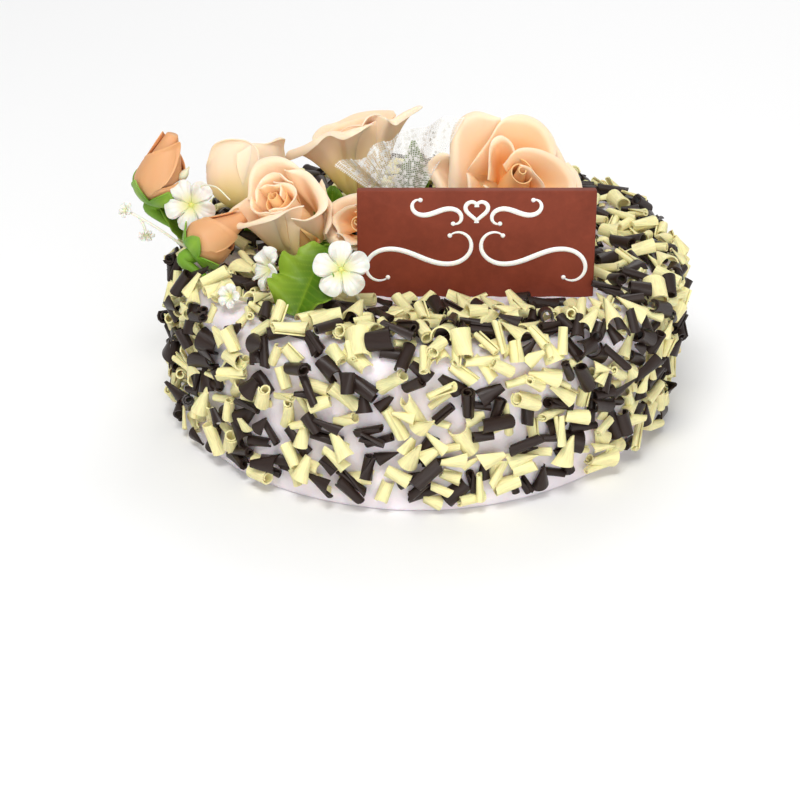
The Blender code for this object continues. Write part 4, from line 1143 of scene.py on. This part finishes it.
def petal_shell(petal, axis, seed, pale, across=45, along=33):
    """A petal from its foot by the rose's axis out to its lip, as a function of u along the lip
    and v up the petal.

    Up to LIP_SHARE of v it is a cubic that leaves the foot at the base tilt and nears the lip at
    the lip tilt. Past it the lip curls back on a circle that touches the lip's points. A slow
    wave grows towards the lip. Its depth is 0 at the lip and 1 at the foot, and less on the
    outside. The deeper colour that it gives is partly the paste's tint and partly painted bounce
    light in the folds.
    """
    inner, base_tilt, lip_tilt, lip = petal
    lip = smooth_path(lip, across)
    tip, roll = lip[:, :3] @ seen_axes(), np.clip(lip[:, 3], 0.05, 6.0)[:, None, None]
    height = (tip @ axis)[:, None]
    radial = unit(tip - height * axis)
    near_foot = unit(0.45 * radial + 0.55 * unit(radial.mean(0)))
    foot = near_foot * (PETAL_HUB * (1.25 - 0.6 * inner)) + axis * (0.6 + 2.8 * inner)
    base, lean = math.radians(base_tilt), math.radians(lip_tilt)
    leaves = math.sin(base) * near_foot + math.cos(base) * axis
    arrives = math.sin(lean) * radial + math.cos(lean) * axis
    back = math.cos(lean) * radial - math.sin(lean) * axis
    tip = tip - LIP_CURL * np.sin(np.minimum(roll[:, 0] / LIP_CURL, TAU / 4)) * arrives
    chord = np.linalg.norm(tip - foot, axis=1)[:, None, None] * PETAL_BEND
    u, v = np.meshgrid(np.linspace(-1, 1, across), np.linspace(0, 1, along), indexing="ij")
    t = np.minimum(v / LIP_SHARE, 1.0)[..., None]
    s = np.clip((v - LIP_SHARE) / (1 - LIP_SHARE), 0, 1)[..., None]
    grid = (2 * t**3 - 3 * t**2 + 1) * foot[:, None] + (t**3 - 2 * t**2 + t) * chord * leaves[:, None]
    grid = grid + (3 * t**2 - 2 * t**3) * tip[:, None] + (t**3 - t**2) * chord * arrives[:, None]
    turn = roll / LIP_CURL * s
    grid = grid + LIP_CURL * (np.sin(turn) * arrives[:, None] + (1 - np.cos(turn)) * back[:, None])
    wave = 0.6 * np.sin(4.3 * u + seed) * v**3 + 0.4 * np.sin(8.1 * u + 2.3 * seed + 3 * v) * v**4
    side = 0.9 * np.abs(u) ** 8 * smooth((v - 0.3) / 0.5)
    grid = grid + (wave + side)[..., None] * back[:, None]
    # Deeper colour towards the foot and in the inner petals, and less on the outsides: partly the paste's
    # own tint, partly painted bounce light in the folds.
    depth = np.clip(1 - v, 0, 1)
    shade = np.clip(0.45 * inner + 0.12 + depth * (0.75 + 0.5 * inner) - pale, 0, 1)
    shade = shade * smooth((1.06 - v) / 0.3)
    yellow = smooth((depth - 0.32) / 0.45) * (1 - inner)
    made = sheet_shell(grid, edge_taper(across, along, 1.0), depth=shade, foot=yellow)
    half = across * along
    facing = np.cross(np.gradient(grid, axis=0), np.gradient(grid, axis=1))
    outward = (facing * radial[:, None]).sum() > 0
    outside = slice(0, half) if outward else slice(half, 2 * half)
    inside = slice(half, 2 * half) if outward else slice(0, half)
    made["values"]["depth"][outside] *= 0.45 + 0.4 * inner
    made["values"]["foot"][inside] *= 0.15
    return made


def edge_taper(rows, columns, thickness, thin=0.45):
    """A thickness that falls towards three edges of the grid, and stays full at v = 0."""
    u, v = np.meshgrid(np.linspace(-1, 1, rows), np.linspace(0, 1, columns), indexing="ij")
    inside = np.minimum(smooth((1 - np.abs(u)) / 0.25), smooth((1 - v) / 0.2))
    return thickness * (thin + (1 - thin) * inside)


def rolled_heart(radius, length, pale):
    """The rose's heart: one petal wound in a spiral, as a function of s along the winding and h
    up it. Its radius grows with s and swells with h, and its top edge dips and flares."""
    s, h = np.meshgrid(np.linspace(0, 1, 121), np.linspace(0, 1, 15), indexing="ij")
    below, above = np.clip(1 - h / 0.35, 0, 1), np.clip((h - 0.35) / 0.65, 0, 1)
    swell = 1 - 0.25 * below**2 - (0.50 - 0.26 * s) * above**1.5
    girth = radius * (0.14 + 0.82 * s) * swell + 1.1 * smooth((h - 0.85) / 0.15) * s**2
    angle = TAU * 2.1 * s + 0.9 * h
    top = length * (1.04 - 0.20 * s + 0.05 * np.sin(angle) * s)
    grid = np.stack([girth * np.cos(angle), girth * np.sin(angle), top * h], axis=-1)
    # Deep colour over the whole heart: partly the paste's tint, partly painted bounce light.
    depth = np.clip(1.05 - 0.25 * h - pale, 0, 1)
    return sheet_shell(grid, edge_taper(121, 15, 0.75, 0.6), depth=depth, foot=0.0)


def rose_parts(made):
    """A wound heart inside its petals. The depth that colours it, partly as the paste's tint and
    partly as painted bounce light, is greatest at the heart and at each petal's base."""
    axis = unit_axis(made["axis"])
    radius, tip = made["heart"]
    tip = np.array(tip) @ seen_axes()
    heart = rolled_heart(radius, float(np.linalg.norm(tip)), made["pale"])
    parts = moved([heart], placed((0, 0, 0), tip, 40))
    parts += [petal_shell(petal, axis, 1.7 * k, made["pale"]) for k, petal in enumerate(made["petals"])]
    for part in parts:
        part["points"] = part["points"] + np.array(made["hip"])
    return parts


def lobed_grid(lobes, share, radius, notch, tilts, columns, rows, wave=0.0):
    """A cup with lobes as a function of the angle round it and the way out: the rim's distance
    falls by the share function from the radius at a lobe's middle to notch times it between."""
    angle = np.linspace(0, TAU, columns + 1)
    w = ((angle * lobes / TAU + 0.5) % 1) * 2 - 1
    reach = (notch + (1 - notch) * share(np.abs(w)))[:, None] * np.linspace(0.02, 1, rows)[None]
    t, out, rise, tilt = midline(radius, tilts)
    r, z, lean = (np.interp(reach, t, values) for values in (out, rise, tilt))
    ripple = wave * radius * reach**3 * np.cos(math.pi * 3 * w)[:, None]
    r, z = r + ripple * np.cos(lean), z - ripple * np.sin(lean)
    grid = np.stack([r * np.cos(angle)[:, None], r * np.sin(angle)[:, None], z], axis=-1)
    return grid, w[:, None] + 0 * reach, reach


def cup_shell(grid, thickness, **values):
    """A lobed cup as a closed thin shell: the grid's first and last rows are one line, so they are
    welded, and its throat is a small hole closed by the strip round it."""
    open_grid = grid[:-1]
    columns, rows = open_grid.shape[:2]
    count = columns * rows
    wrapped = np.concatenate([grid[-2:-1], grid, grid[1:2]])
    normal = unit(np.cross(np.gradient(wrapped, axis=0), np.gradient(wrapped, axis=1)))[1:-2]
    half = normal * np.asarray(thickness)[..., None] / 2
    quads = grid_quads(rows, columns, closed=True)
    index = np.arange(count).reshape(columns, rows)
    swapped = index.T.reshape(-1)
    quads = swapped[quads]
    ring = index[:, -1]
    after = np.roll(ring, -1)
    rim = np.stack([ring, after, after + count, ring + count], axis=-1)
    throat = index[:, 0]
    behind = np.roll(throat, -1)
    hole = np.stack([behind, throat, throat + count, behind + count], axis=-1)
    points = np.concatenate([(open_grid + half).reshape(-1, 3), (open_grid - half).reshape(-1, 3)])
    doubled = {}
    for name, value in values.items():
        flat = np.broadcast_to(value, (columns + 1, rows))[:-1].reshape(-1)
        doubled[name] = np.concatenate([flat, flat])
    return shell(points, [quads, quads[:, ::-1] + count, rim[:, ::-1], hole[:, ::-1]], **doubled)


def sepal_share(w):
    """A sepal's reach: pointed."""
    return 1 - w**1.15


def petal_share(w):
    """A blossom petal's reach: round."""
    return np.sqrt(np.clip(1 - w**3.6, 0, 1))


def stem_shell(path, radii, **values):
    """A stem through the points, whose radius runs through the radii."""
    count = 6 * len(path)
    girth = np.interp(np.linspace(0, 1, count), np.linspace(0, 1, len(radii)), radii)
    return tube_shell(smooth_path(path, count), girth, 14, **values)


def calyx_parts(hip, axis, size, tilts, foot):
    """Five pointed sepals in one cup just under the hip, on a stem that goes into the cream."""
    axis = unit_axis(axis)
    below = np.array(hip) - axis * (0.55 + GAP)
    grid, w, reach = lobed_grid(5, sepal_share, size, 0.42, tilts, 160, 22, 0.02)
    taper = 1.1 * (0.4 + 0.6 * smooth((1 - reach) / 0.5))[:-1]
    light = np.clip(0.9 - np.abs(w) * 1.4, 0, 1) * smooth(reach * 3)
    parts = moved([cup_shell(grid, taper, light=light)], placed(below, axis, 20))
    path = [below + axis * 0.3, below - axis * 0.3 * size, in_cream(*foot)]
    return parts + [stem_shell(path, (2.4, 1.7, 1.7), light=0.1)]


def bud_girth(made, h, w):
    """The bud's radius at the share h of its length: it swells, closes, and grows once round it."""
    below = np.clip(1 - h / BUD_WIDEST, 0, 1)
    above = np.clip((h - BUD_WIDEST) / (1 - BUD_WIDEST), 0, 1)
    return made["size"][1] * (1 - 0.5 * below**2 - 0.74 * above**1.25) * (0.84 + 0.18 * w)


def bud_shells(made):
    """A rolled bud, whose last petal's edge shows as a step that winds to its curled tip. Two
    outer petals wrap it from the foot, each with an edge that runs up it aslant."""
    length = made["size"][0]
    h, w = np.meshgrid(np.linspace(0, 1, 49), np.linspace(0, 1, 73), indexing="ij")
    angle = TAU * (w * (1 - 0.25 / 72) + BUD_TWIST * h)
    girth = bud_girth(made, h, w)
    body = np.stack([girth * np.cos(angle), girth * np.sin(angle), length * h], axis=-1)
    parts = [ring_shell(body, depth=0.75 - 0.45 * h, foot=0.0)]
    u, v = np.meshgrid(np.linspace(-1, 1, 49), np.linspace(0, 1, 33), indexing="ij")
    for start, most, high, low, out in made["wraps"]:
        rim = (low + (high - low) * smooth((u + 1) / 1.6)) * (1 - 0.6 * np.clip((u - 0.6) / 0.4, 0, 1) ** 2)
        up = v * rim
        lip = (0.35 + 0.9 * smooth((rim - 0.6) / 0.4)) * smooth((v - 0.86) / 0.14) + 0.35 * np.abs(u) ** 6
        girth = bud_girth(made, up, 0.93) + out + lip
        angle = TAU * (start + most * (u + 1) / 2 + BUD_TWIST * up)
        grid = np.stack([girth * np.cos(angle), girth * np.sin(angle), length * up], axis=-1)
        dusted = 0.7 * smooth((0.3 - v) / 0.3)
        parts.append(sheet_shell(grid, edge_taper(49, 33, 0.75), depth=0.6 - 0.5 * v, foot=dusted))
    return moved(parts, placed(made["foot"], made["axis"], made["turn"]))


def bud_sepals(made):
    """Five pointed sepals that hug the bud from under its foot, on its stem."""
    length = made["size"][0]
    columns, rows = 160, 24
    angle = np.linspace(0, TAU, columns + 1)
    w = ((angle * 5 / TAU + 0.5) % 1) * 2 - 1
    tall = made["calyx"] * (0.22 + 0.78 * (1 - np.abs(w) ** 1.1))[:, None]
    v = np.linspace(0.02, 1, rows)[None] + 0 * tall
    up = np.clip((v - 0.3) / 0.7, 0, 1) * tall
    under = bud_girth(made, 0.0, 0.93) + 1.1
    flare = 1.3 * np.clip((v - 0.75) / 0.25, 0, 1) ** 2 * (1 - np.abs(w))[:, None]
    girth = np.where(v < 0.3, under * v / 0.3, bud_girth(made, up / length, 0.93) + 1.55 + flare)
    z = np.where(v < 0.3, -0.9 + 0.3 * v / 0.3, up - 0.6)
    grid = np.stack([girth * np.cos(angle)[:, None], girth * np.sin(angle)[:, None], z], axis=-1)
    taper = (0.9 * (0.5 + 0.5 * smooth((1 - v) / 0.4)))[:-1]
    light = np.clip(0.9 - np.abs(w)[:, None] * 1.2, 0, 1) * smooth(v * 2)
    place = placed(made["foot"], made["axis"], made["turn"] + 25)
    parts = moved([cup_shell(grid, taper, light=light)], place)
    axis, foot = unit_axis(made["axis"]), np.array(made["foot"])
    path = [foot - axis * 0.7, foot - axis * 5.0, in_cream(*made["stem"])]
    return parts + [stem_shell(path, (3.4, 2.4, 1.7), light=0.3)]


def blossom_parts(facing, throat, radius, tilt, turn, columns=200, rows=16):
    """Five rounded, spooned petals joined in a short throat, round a small dome with six dots."""
    tilts = (45, tilt, tilt + 22)
    grid, w, reach = lobed_grid(5, petal_share, radius * 1.06, 0.36, tilts, columns, rows)
    free = smooth((reach - 0.36) / 0.4)
    spoon = 0.16 * w**2 + 0.09 * w - 0.05 * np.exp(-((w / 0.14) ** 2)) + 0.03 * np.sin(7 * w + 3 * reach)
    grid[..., 2] += radius * spoon * free - 0.10 * radius * smooth((reach - 0.75) / 0.3)
    full = smooth((1.02 - reach) / 0.3) * smooth((1.04 - np.abs(w)) / 0.3)
    taper = (0.5 + 0.10 * radius * full)[:-1]
    parts = [
        cup_shell(grid, taper, heart=np.clip(1.2 - reach * 1.9, 0, 1)),
        ball_shell((0, 0, 0.10 * radius), 0.11 * radius, 9, 14, heart=1.0)]
    for k in range(6):
        spot = (0.15 * radius * math.cos(k), 0.15 * radius * math.sin(k), 0.16 * radius)
        parts.append(ball_shell(spot, 0.045 * radius, 5, 8, heart=0.8))
    return moved(parts, placed(throat, facing, turn))


def leaf_parts(made):
    """A leaf as a function of u across and v along: an oval blade, folded up along its midrib,
    whose edge waves and frills and whose tip droops, with veins sunk into it, and its stalk."""
    length, half_width = made["size"]
    u, v = np.meshgrid(np.linspace(-1, 1, 49), np.linspace(0, 1, 61), indexing="ij")
    belly = made.get("belly", 0.36)
    oval = np.sin(math.pi * (v * 0.93 + 0.05)) ** made.get("blunt", 0.75)
    blade = half_width * oval * (1 + belly * (0.5 - v))
    blade = blade * (1 + 0.35 * made["ruffle"] * np.abs(u) ** 3 * np.sin(38 * v + 2 * np.sign(u)))
    waves = made.get("waves", 11.0)
    wave = made["ruffle"] * length * np.abs(u) ** 2 * np.sin(waves * v + 1.1 * np.sign(u)) * smooth(v * 4)
    frill = 0.40 * made["ruffle"] * length * np.abs(u) ** 2.5 * np.sin(30 * v + 2.0 * u) * smooth(v * 5)
    rib = np.exp(-((u / 0.07) ** 2))
    slope = v * 11.0 - np.abs(u) * 2.6
    vein = np.clip(np.cos(TAU * slope), 0, 1) ** 8 * np.clip(1 - np.abs(u), 0, 1)
    vein = vein * smooth(np.abs(u) / 0.1)
    z = made["fold"] * np.abs(u * blade) + wave + frill - made["droop"] * length * v**2 * 2
    z = z - 0.35 * rib * (1 - v) - 0.22 * vein
    grid = np.stack([u * blade, length * v, z], axis=-1)
    rib_way = Vector(made["rib"]).normalized()
    face = Vector(made["face"])
    face = (face - rib_way * face.dot(rib_way)).normalized()
    turned = Matrix((rib_way.cross(face), rib_way, face)).transposed().to_4x4()
    place = Matrix.Translation(Vector(made["foot"])) @ turned
    # Painted light: one side of the front leaf is painted lighter, as if lit. The midrib and veins are the
    # paste's own lighter tone.
    lit = made.get("lit", 0.0) * smooth((u + 0.1) / 1.0)
    light = np.clip(0.8 * rib + 0.55 * vein + 0.5 * np.abs(u) ** 4 + lit, 0, 1)
    inside = np.minimum(smooth((1 - np.abs(u)) / 0.3), smooth(np.minimum(v, 1 - v) / 0.1))
    sheet = sheet_shell(carried(grid, place), 1.25 * (0.4 + 0.6 * inside), light=light)
    top = np.array(place @ Vector((0, 2.0, 0)))
    low = in_cream(*made["stem"])
    return [sheet, stem_shell([top, (top + low) / 2, low], (0.9, 0.9), light=0.3)]


def tulle_grid(across, along):
    """A fan of net as a function of u round it and v outwards: folds that deepen outwards, finer
    crinkles on them, and an uneven cut edge. The grid and v."""
    u, v = np.meshgrid(np.linspace(0, 1, across), np.linspace(0, 1, along), indexing="ij")
    angle = np.radians(TULLE_FAN[0] + (TULLE_FAN[1] - TULLE_FAN[0]) * u)
    rim = np.interp(u, np.linspace(0, 1, len(TULLE_REACHES)), TULLE_REACHES)
    rim = rim + 0.5 * np.sin(19 * u) + 0.3 * np.sin(43 * u + 1)
    reach = 5.0 + (rim - 5.0) * v
    fold = TULLE_FOLD_DEPTH * v * np.sin(TAU * TULLE_FOLDS * u + 0.6)
    crinkle = 0.35 * np.sin(9 * v + 5 * u) * np.sin(TAU * 4 * u + 2) * v
    crinkle = 0.5 * v * np.sin(TAU * 6.3 * u + 5 * v) + crinkle
    x = TULLE_FOOT[0] + reach * np.sin(angle)
    y = TULLE_FOOT[1] + fold + crinkle + TULLE_BACKWARDS * u * v
    z = TULLE_FOOT[2] + reach * np.cos(angle)
    return np.stack([x, y, z], axis=-1), v


def flake_shell(grid, count):
    """Six-sided flakes, each lying a little behind a random point of the net at a random turn."""
    random = np.random.default_rng(FLAKE_SEED)
    rows, columns = grid.shape[:2]
    picked = random.integers(6, rows - 6, count), random.integers(8, columns - 1, count)
    normal = unit(np.cross(np.gradient(grid, axis=0), np.gradient(grid, axis=1)))[picked]
    spot = grid[picked] - normal * FLAKE_LIFT
    way = unit(random.normal(size=(count, 3)))
    side = unit(np.cross(normal, way))
    other = np.cross(normal, side)
    size = random.uniform(*FLAKE_RADIUS, count)[:, None, None]
    angle = (TAU * np.arange(6) / 6)[None, :, None]
    ring = spot[:, None] + (side[:, None] * np.cos(angle) + other[:, None] * np.sin(angle)) * size
    deep = normal[:, None] * FLAKE_HALF_THICKNESS
    k = np.arange(6)
    after = (k + 1) % 6
    walls = np.stack([k, after, after + 6, k + 6], axis=-1)
    caps = np.array([[0, 5, 2, 1], [5, 4, 3, 2], [6, 7, 8, 11], [8, 9, 10, 11]])
    one = np.concatenate([walls, caps])
    faces = (one[None] + (np.arange(count) * 12)[:, None, None]).reshape(-1, 4)
    return shell(np.concatenate([ring - deep, ring + deep], axis=1), [faces])


# Operators

def settings_of(context):
    """The cake's settings in the scene."""
    return context.scene.birthday_cake


class CAKE_OT_stage(bpy.types.Operator):
    """Camera, floor and soft studio lights"""

    bl_idname = "cake.stage"
    bl_label = "Stage"

    def execute(self, context):
        scene = context.scene
        rise = math.radians(CAMERA_ELEVATION)
        back = Vector((0.0, -math.cos(rise), math.sin(rise)))
        data = bpy.data.cameras.new("camera")
        data.lens = CAMERA_LENS
        data.sensor_width = 36.0
        data.clip_start = 0.01
        camera = bpy.data.objects.new("camera", data)
        camera.location = CAMERA_AIM + back * CAMERA_DISTANCE
        camera.rotation_euler = (-back).to_track_quat("-Z", "Y").to_euler()
        scene.collection.objects.link(camera)
        scene.camera = camera
        scene.view_settings.view_transform = "Standard"
        for name, (place, size, power) in LIGHTS.items():
            lamp = bpy.data.lights.new(name, "AREA")
            lamp.size = size
            lamp.energy = power
            light = bpy.data.objects.new(name, lamp)
            light.location = place
            aim = Vector(LIGHTS_AIM) - Vector(place)
            light.rotation_euler = aim.to_track_quat("-Z", "Y").to_euler()
            scene.collection.objects.link(light)
        world = bpy.data.worlds.new("studio")
        world.use_nodes = True
        background = world.node_tree.nodes["Background"]
        background.inputs["Color"].default_value = (1.0, 1.0, 1.0, 1.0)
        background.inputs["Strength"].default_value = WORLD_STRENGTH
        scene.world = world
        mesh = bpy.data.meshes.new("floor")
        corners = [(x * FLOOR_REACH, y * FLOOR_REACH, 0) for x, y in ((-1, -1), (1, -1), (1, 1), (-1, 1))]
        mesh.from_pydata(corners, [], [(0, 1, 2, 3)])
        floor = bpy.data.objects.new("floor", mesh)
        material, shader = principled("floor", 0.7)
        shader.inputs["Base Color"].default_value = rgba([FLOOR_TONE] * 3)
        mesh.materials.append(material)
        scene.collection.objects.link(floor)
        return {"FINISHED"}


class CAKE_OT_cream(bpy.types.Operator):
    """The iced cake"""

    bl_idname = "cake.cream"
    bl_label = "Cream"

    def execute(self, context):
        cream = settings_of(context).cream
        make_piece("cream", [cream_shell(cream.wave / MM)], cream_material(cream), ["cake"])
        return {"FINISHED"}


class CAKE_OT_curls(bpy.types.Operator):
    """White and dark chocolate curls"""

    bl_idname = "cake.curls"
    bl_label = "Chocolate curls"

    def execute(self, context):
        curls = settings_of(context).curls
        rows = scattered_curls(curls)
        around = np.arctan2(rows[:, 1], rows[:, 0]) * CAKE_RADIUS / PATCH_REACH
        patches = 0.22 * bumps(around, rows[:, 2] / PATCH_REACH, 3)
        away = np.linalg.norm(rows[:, :3] - WHITE_HEAP, axis=1)
        patches = patches + 0.4 * np.exp(-((away / WHITE_HEAP_REACH) ** 2))
        white = np.random.default_rng(FILL_SEED + 5).random(len(rows)) < curls.white_share + patches
        wall = curls.wall / MM
        pale = chocolate_material("white chocolate", curls.white, 0.42, 0.15)
        dark = chocolate_material("dark chocolate", curls.dark, 0.36, 0.0)
        make_piece("curls_white", [curl_shell(rows[white], WHITE_SEED, wall)], pale, sharp=42)
        thicker = [curl_shell(rows[~white], DARK_SEED, wall * 1.1)]
        make_piece("curls_dark", thicker, dark, sharp=42)
        return {"FINISHED"}


class CAKE_OT_plaque(bpy.types.Operator):
    """The chocolate plaque and its piping"""

    bl_idname = "cake.plaque"
    bl_label = "Plaque"

    def execute(self, context):
        plaque = settings_of(context).plaque
        make_piece("plaque_slab", [slab_shell()], plaque_material(plaque), ["plaque"])
        make_piece("plaque_icing", piping_shells(plaque.piping / MM), icing_material(plaque))
        return {"FINISHED"}


class CAKE_OT_roses(bpy.types.Operator):
    """Five sugar roses"""

    bl_idname = "cake.roses"
    bl_label = "Roses"

    def execute(self, context):
        flowers = settings_of(context).flowers
        paste = petal_material("peach sugar paste", flowers.pale, flowers.peach, flowers.deep, flowers.foot)
        for name, made in ROSES.items():
            make_piece(name + "_petals", rose_parts(made), paste, [name], sharp=70)
        return {"FINISHED"}


class CAKE_OT_buds(bpy.types.Operator):
    """Two rosebuds"""

    bl_idname = "cake.buds"
    bl_label = "Rosebuds"

    def execute(self, context):
        flowers = settings_of(context).flowers
        paste = petal_material("deep peach sugar paste", shifted(flowers.bud, 0.15), flowers.bud,
                               shifted(flowers.bud, -0.3), flowers.foot)
        for name, made in BUDS.items():
            make_piece(name + "_petals", bud_shells(made), paste, [name], sharp=70)
        return {"FINISHED"}


class CAKE_OT_calyxes(bpy.types.Operator):
    """The roses' and buds' calyxes and stems"""

    bl_idname = "cake.calyxes"
    bl_label = "Calyxes"

    def execute(self, context):
        paste = leaf_material("green calyx paste", settings_of(context).flowers.calyx, 0.35)
        for name, made in ROSES.items():
            base = made["base"]
            tilts = (92, max(base + 16, 86), base + 34)
            parts = calyx_parts(made["hip"], made["axis"], made["calyx"], tilts, made["stem"])
            make_piece(name + "_sepals", parts, paste, [name + "_calyx"])
        for name, made in BUDS.items():
            make_piece(name + "_sepals", bud_sepals(made), paste, [name + "_calyx"])
        return {"FINISHED"}


class CAKE_OT_blossoms(bpy.types.Operator):
    """White blossoms on stems"""

    bl_idname = "cake.blossoms"
    bl_label = "Blossoms"

    def execute(self, context):
        paste = blossom_material(settings_of(context).flowers)
        for name, made in BLOSSOMS.items():
            facing = unit_axis(made["facing"])
            throat = np.array(made["centre"]) - facing * 0.35 * made["radius"]
            parts = blossom_parts(facing, throat, made["radius"], made["tilt"], made["turn"])
            path = [throat + facing * 0.2, throat - facing * 0.4 * made["radius"], in_cream(*made["stem"])]
            parts.append(stem_shell(path, (0.8, 0.8), heart=0.5))
            make_piece(name + "_petals", parts, paste, [name])
        return {"FINISHED"}


class CAKE_OT_leaves(bpy.types.Operator):
    """Five leaves"""

    bl_idname = "cake.leaves"
    bl_label = "Leaves"

    def execute(self, context):
        paste = leaf_material("green leaf paste", settings_of(context).flowers.leaf, 0.8)
        for name, made in LEAVES.items():
            make_piece(name + "_blade", leaf_parts(made), paste, [name])
        return {"FINISHED"}


class CAKE_OT_tulle(bpy.types.Operator):
    """The fan of net, its tie and its flakes"""

    bl_idname = "cake.tulle"
    bl_label = "Tulle"

    def execute(self, context):
        tulle = settings_of(context).tulle
        grid, v = tulle_grid(*TULLE_GRID)
        step = np.linalg.norm(np.diff(grid, axis=0), axis=-1).mean(axis=1)
        arc = np.concatenate([[0], np.cumsum(step)])[:, None] + 0 * v
        weave = np.stack([arc, v * TULLE_WEAVE_LENGTH, 0 * v], axis=-1).reshape(-1, 3)
        cloth = [shell(grid, [grid_quads(*TULLE_GRID)[:, ::-1]], weave=weave)]
        net = make_piece("tulle_net", cloth, tulle_material(tulle), ["tulle"])
        foot = np.array(TULLE_FOOT)
        path = [foot + (0, 0, 7), foot, in_cream(foot[0], foot[1] + 2.0)]
        paste = blossom_material(settings_of(context).flowers)
        band = make_piece("tulle_tie", [stem_shell(path, (1.6, 1.6), heart=0.2)], paste)
        scattered = [flake_shell(grid, tulle.flakes)]
        flakes = make_piece("tulle_flakes", scattered, flake_material(), sharp=20)
        return {"FINISHED"}


class CAKE_OT_sprig(bpy.types.Operator):
    """The sprig over the cake's edge"""

    bl_idname = "cake.sprig"
    bl_label = "Sprig"

    def execute(self, context):
        parts = []
        for path, facing in zip((SPRIG_WIRE, SPRIG_TWIG), SPRIG_FACINGS):
            facing = unit_axis(facing)
            parts.append(tube_shell(smooth_path(path, 40), WIRE_RADIUS, 10, heart=0.15))
            throat = np.array(path[-1]) - facing
            parts += blossom_parts(facing, throat, SPRIG_BLOSSOM / 1.06, 55, 0, 80, 8)
        for path in SPRAY_WIRES:
            parts.append(tube_shell(smooth_path(path, 40), SPRAY_WIRE_RADIUS, 8, heart=0.25))
        length, radius = SPRAY_BUD["size"]
        share = np.linspace(0.0, 1.0, 13)
        spindle = radius * (0.25 + 0.75 * np.sin(math.pi * np.minimum(share * 1.15, 1.0)))
        body = tube_shell(np.stack([0 * share, 0 * share, share * length], axis=-1), spindle, 12, heart=0.35)
        parts += moved([body], placed(SPRAY_BUD["foot"], SPRAY_BUD["axis"]))
        paste = blossom_material(settings_of(context).flowers)
        make_piece("sprig_flowers", parts, paste, ["sprig"])
        return {"FINISHED"}


class BirthdayCakeSettings(bpy.types.PropertyGroup):
    """All settings of the cake."""

    cream: bpy.props.PointerProperty(type=CreamSettings, name="Cream", description="The cream")
    curls: bpy.props.PointerProperty(type=CurlSettings, name="Curls", description="The chocolate curls")
    plaque: bpy.props.PointerProperty(type=PlaqueSettings, name="Plaque", description="The plaque")
    flowers: bpy.props.PointerProperty(type=FlowerSettings, name="Flowers", description="The sugar flowers")
    tulle: bpy.props.PointerProperty(type=TulleSettings, name="Tulle", description="The tulle")


OPERATORS = (
    CAKE_OT_stage, CAKE_OT_cream, CAKE_OT_curls, CAKE_OT_plaque, CAKE_OT_roses, CAKE_OT_buds,
    CAKE_OT_calyxes, CAKE_OT_blossoms, CAKE_OT_leaves, CAKE_OT_tulle, CAKE_OT_sprig,
)


class CAKE_PT_panel(bpy.types.Panel):
    """The cake's operators and settings"""

    bl_idname = "CAKE_PT_panel"
    bl_label = "Birthday cake"
    bl_space_type = "VIEW_3D"
    bl_region_type = "UI"
    bl_category = "Cake"

    def draw(self, context):
        for operator in OPERATORS:
            self.layout.operator(operator.bl_idname)
        settings = settings_of(context)
        for group in (settings.cream, settings.curls, settings.plaque, settings.flowers, settings.tulle):
            box = self.layout.box()
            for name in group.bl_rna.properties.keys():
                if name not in ("rna_type", "name"):
                    box.prop(group, name)


CLASSES = (
    CreamSettings, CurlSettings, PlaqueSettings, FlowerSettings, TulleSettings, BirthdayCakeSettings,
    *OPERATORS, CAKE_PT_panel,
)


def register():
    """Adds the classes and the cake's settings."""
    for one in CLASSES:
        bpy.utils.register_class(one)
    bpy.types.Scene.birthday_cake = bpy.props.PointerProperty(type=BirthdayCakeSettings)


def unregister():
    """Takes them away again."""
    del bpy.types.Scene.birthday_cake
    for one in reversed(CLASSES):
        bpy.utils.unregister_class(one)


def main():
    """Builds the cake."""
    for obj in [one for one in bpy.data.objects if one.name in STARTUP_OBJECTS]:
        bpy.data.objects.remove(obj)
    register()
    bpy.ops.cake.stage()
    bpy.ops.cake.cream()
    bpy.ops.cake.curls()
    bpy.ops.cake.plaque()
    bpy.ops.cake.roses()
    bpy.ops.cake.buds()
    bpy.ops.cake.calyxes()
    bpy.ops.cake.blossoms()
    bpy.ops.cake.leaves()
    bpy.ops.cake.tulle()
    bpy.ops.cake.sprig()


if __name__ == "__main__":
    main()
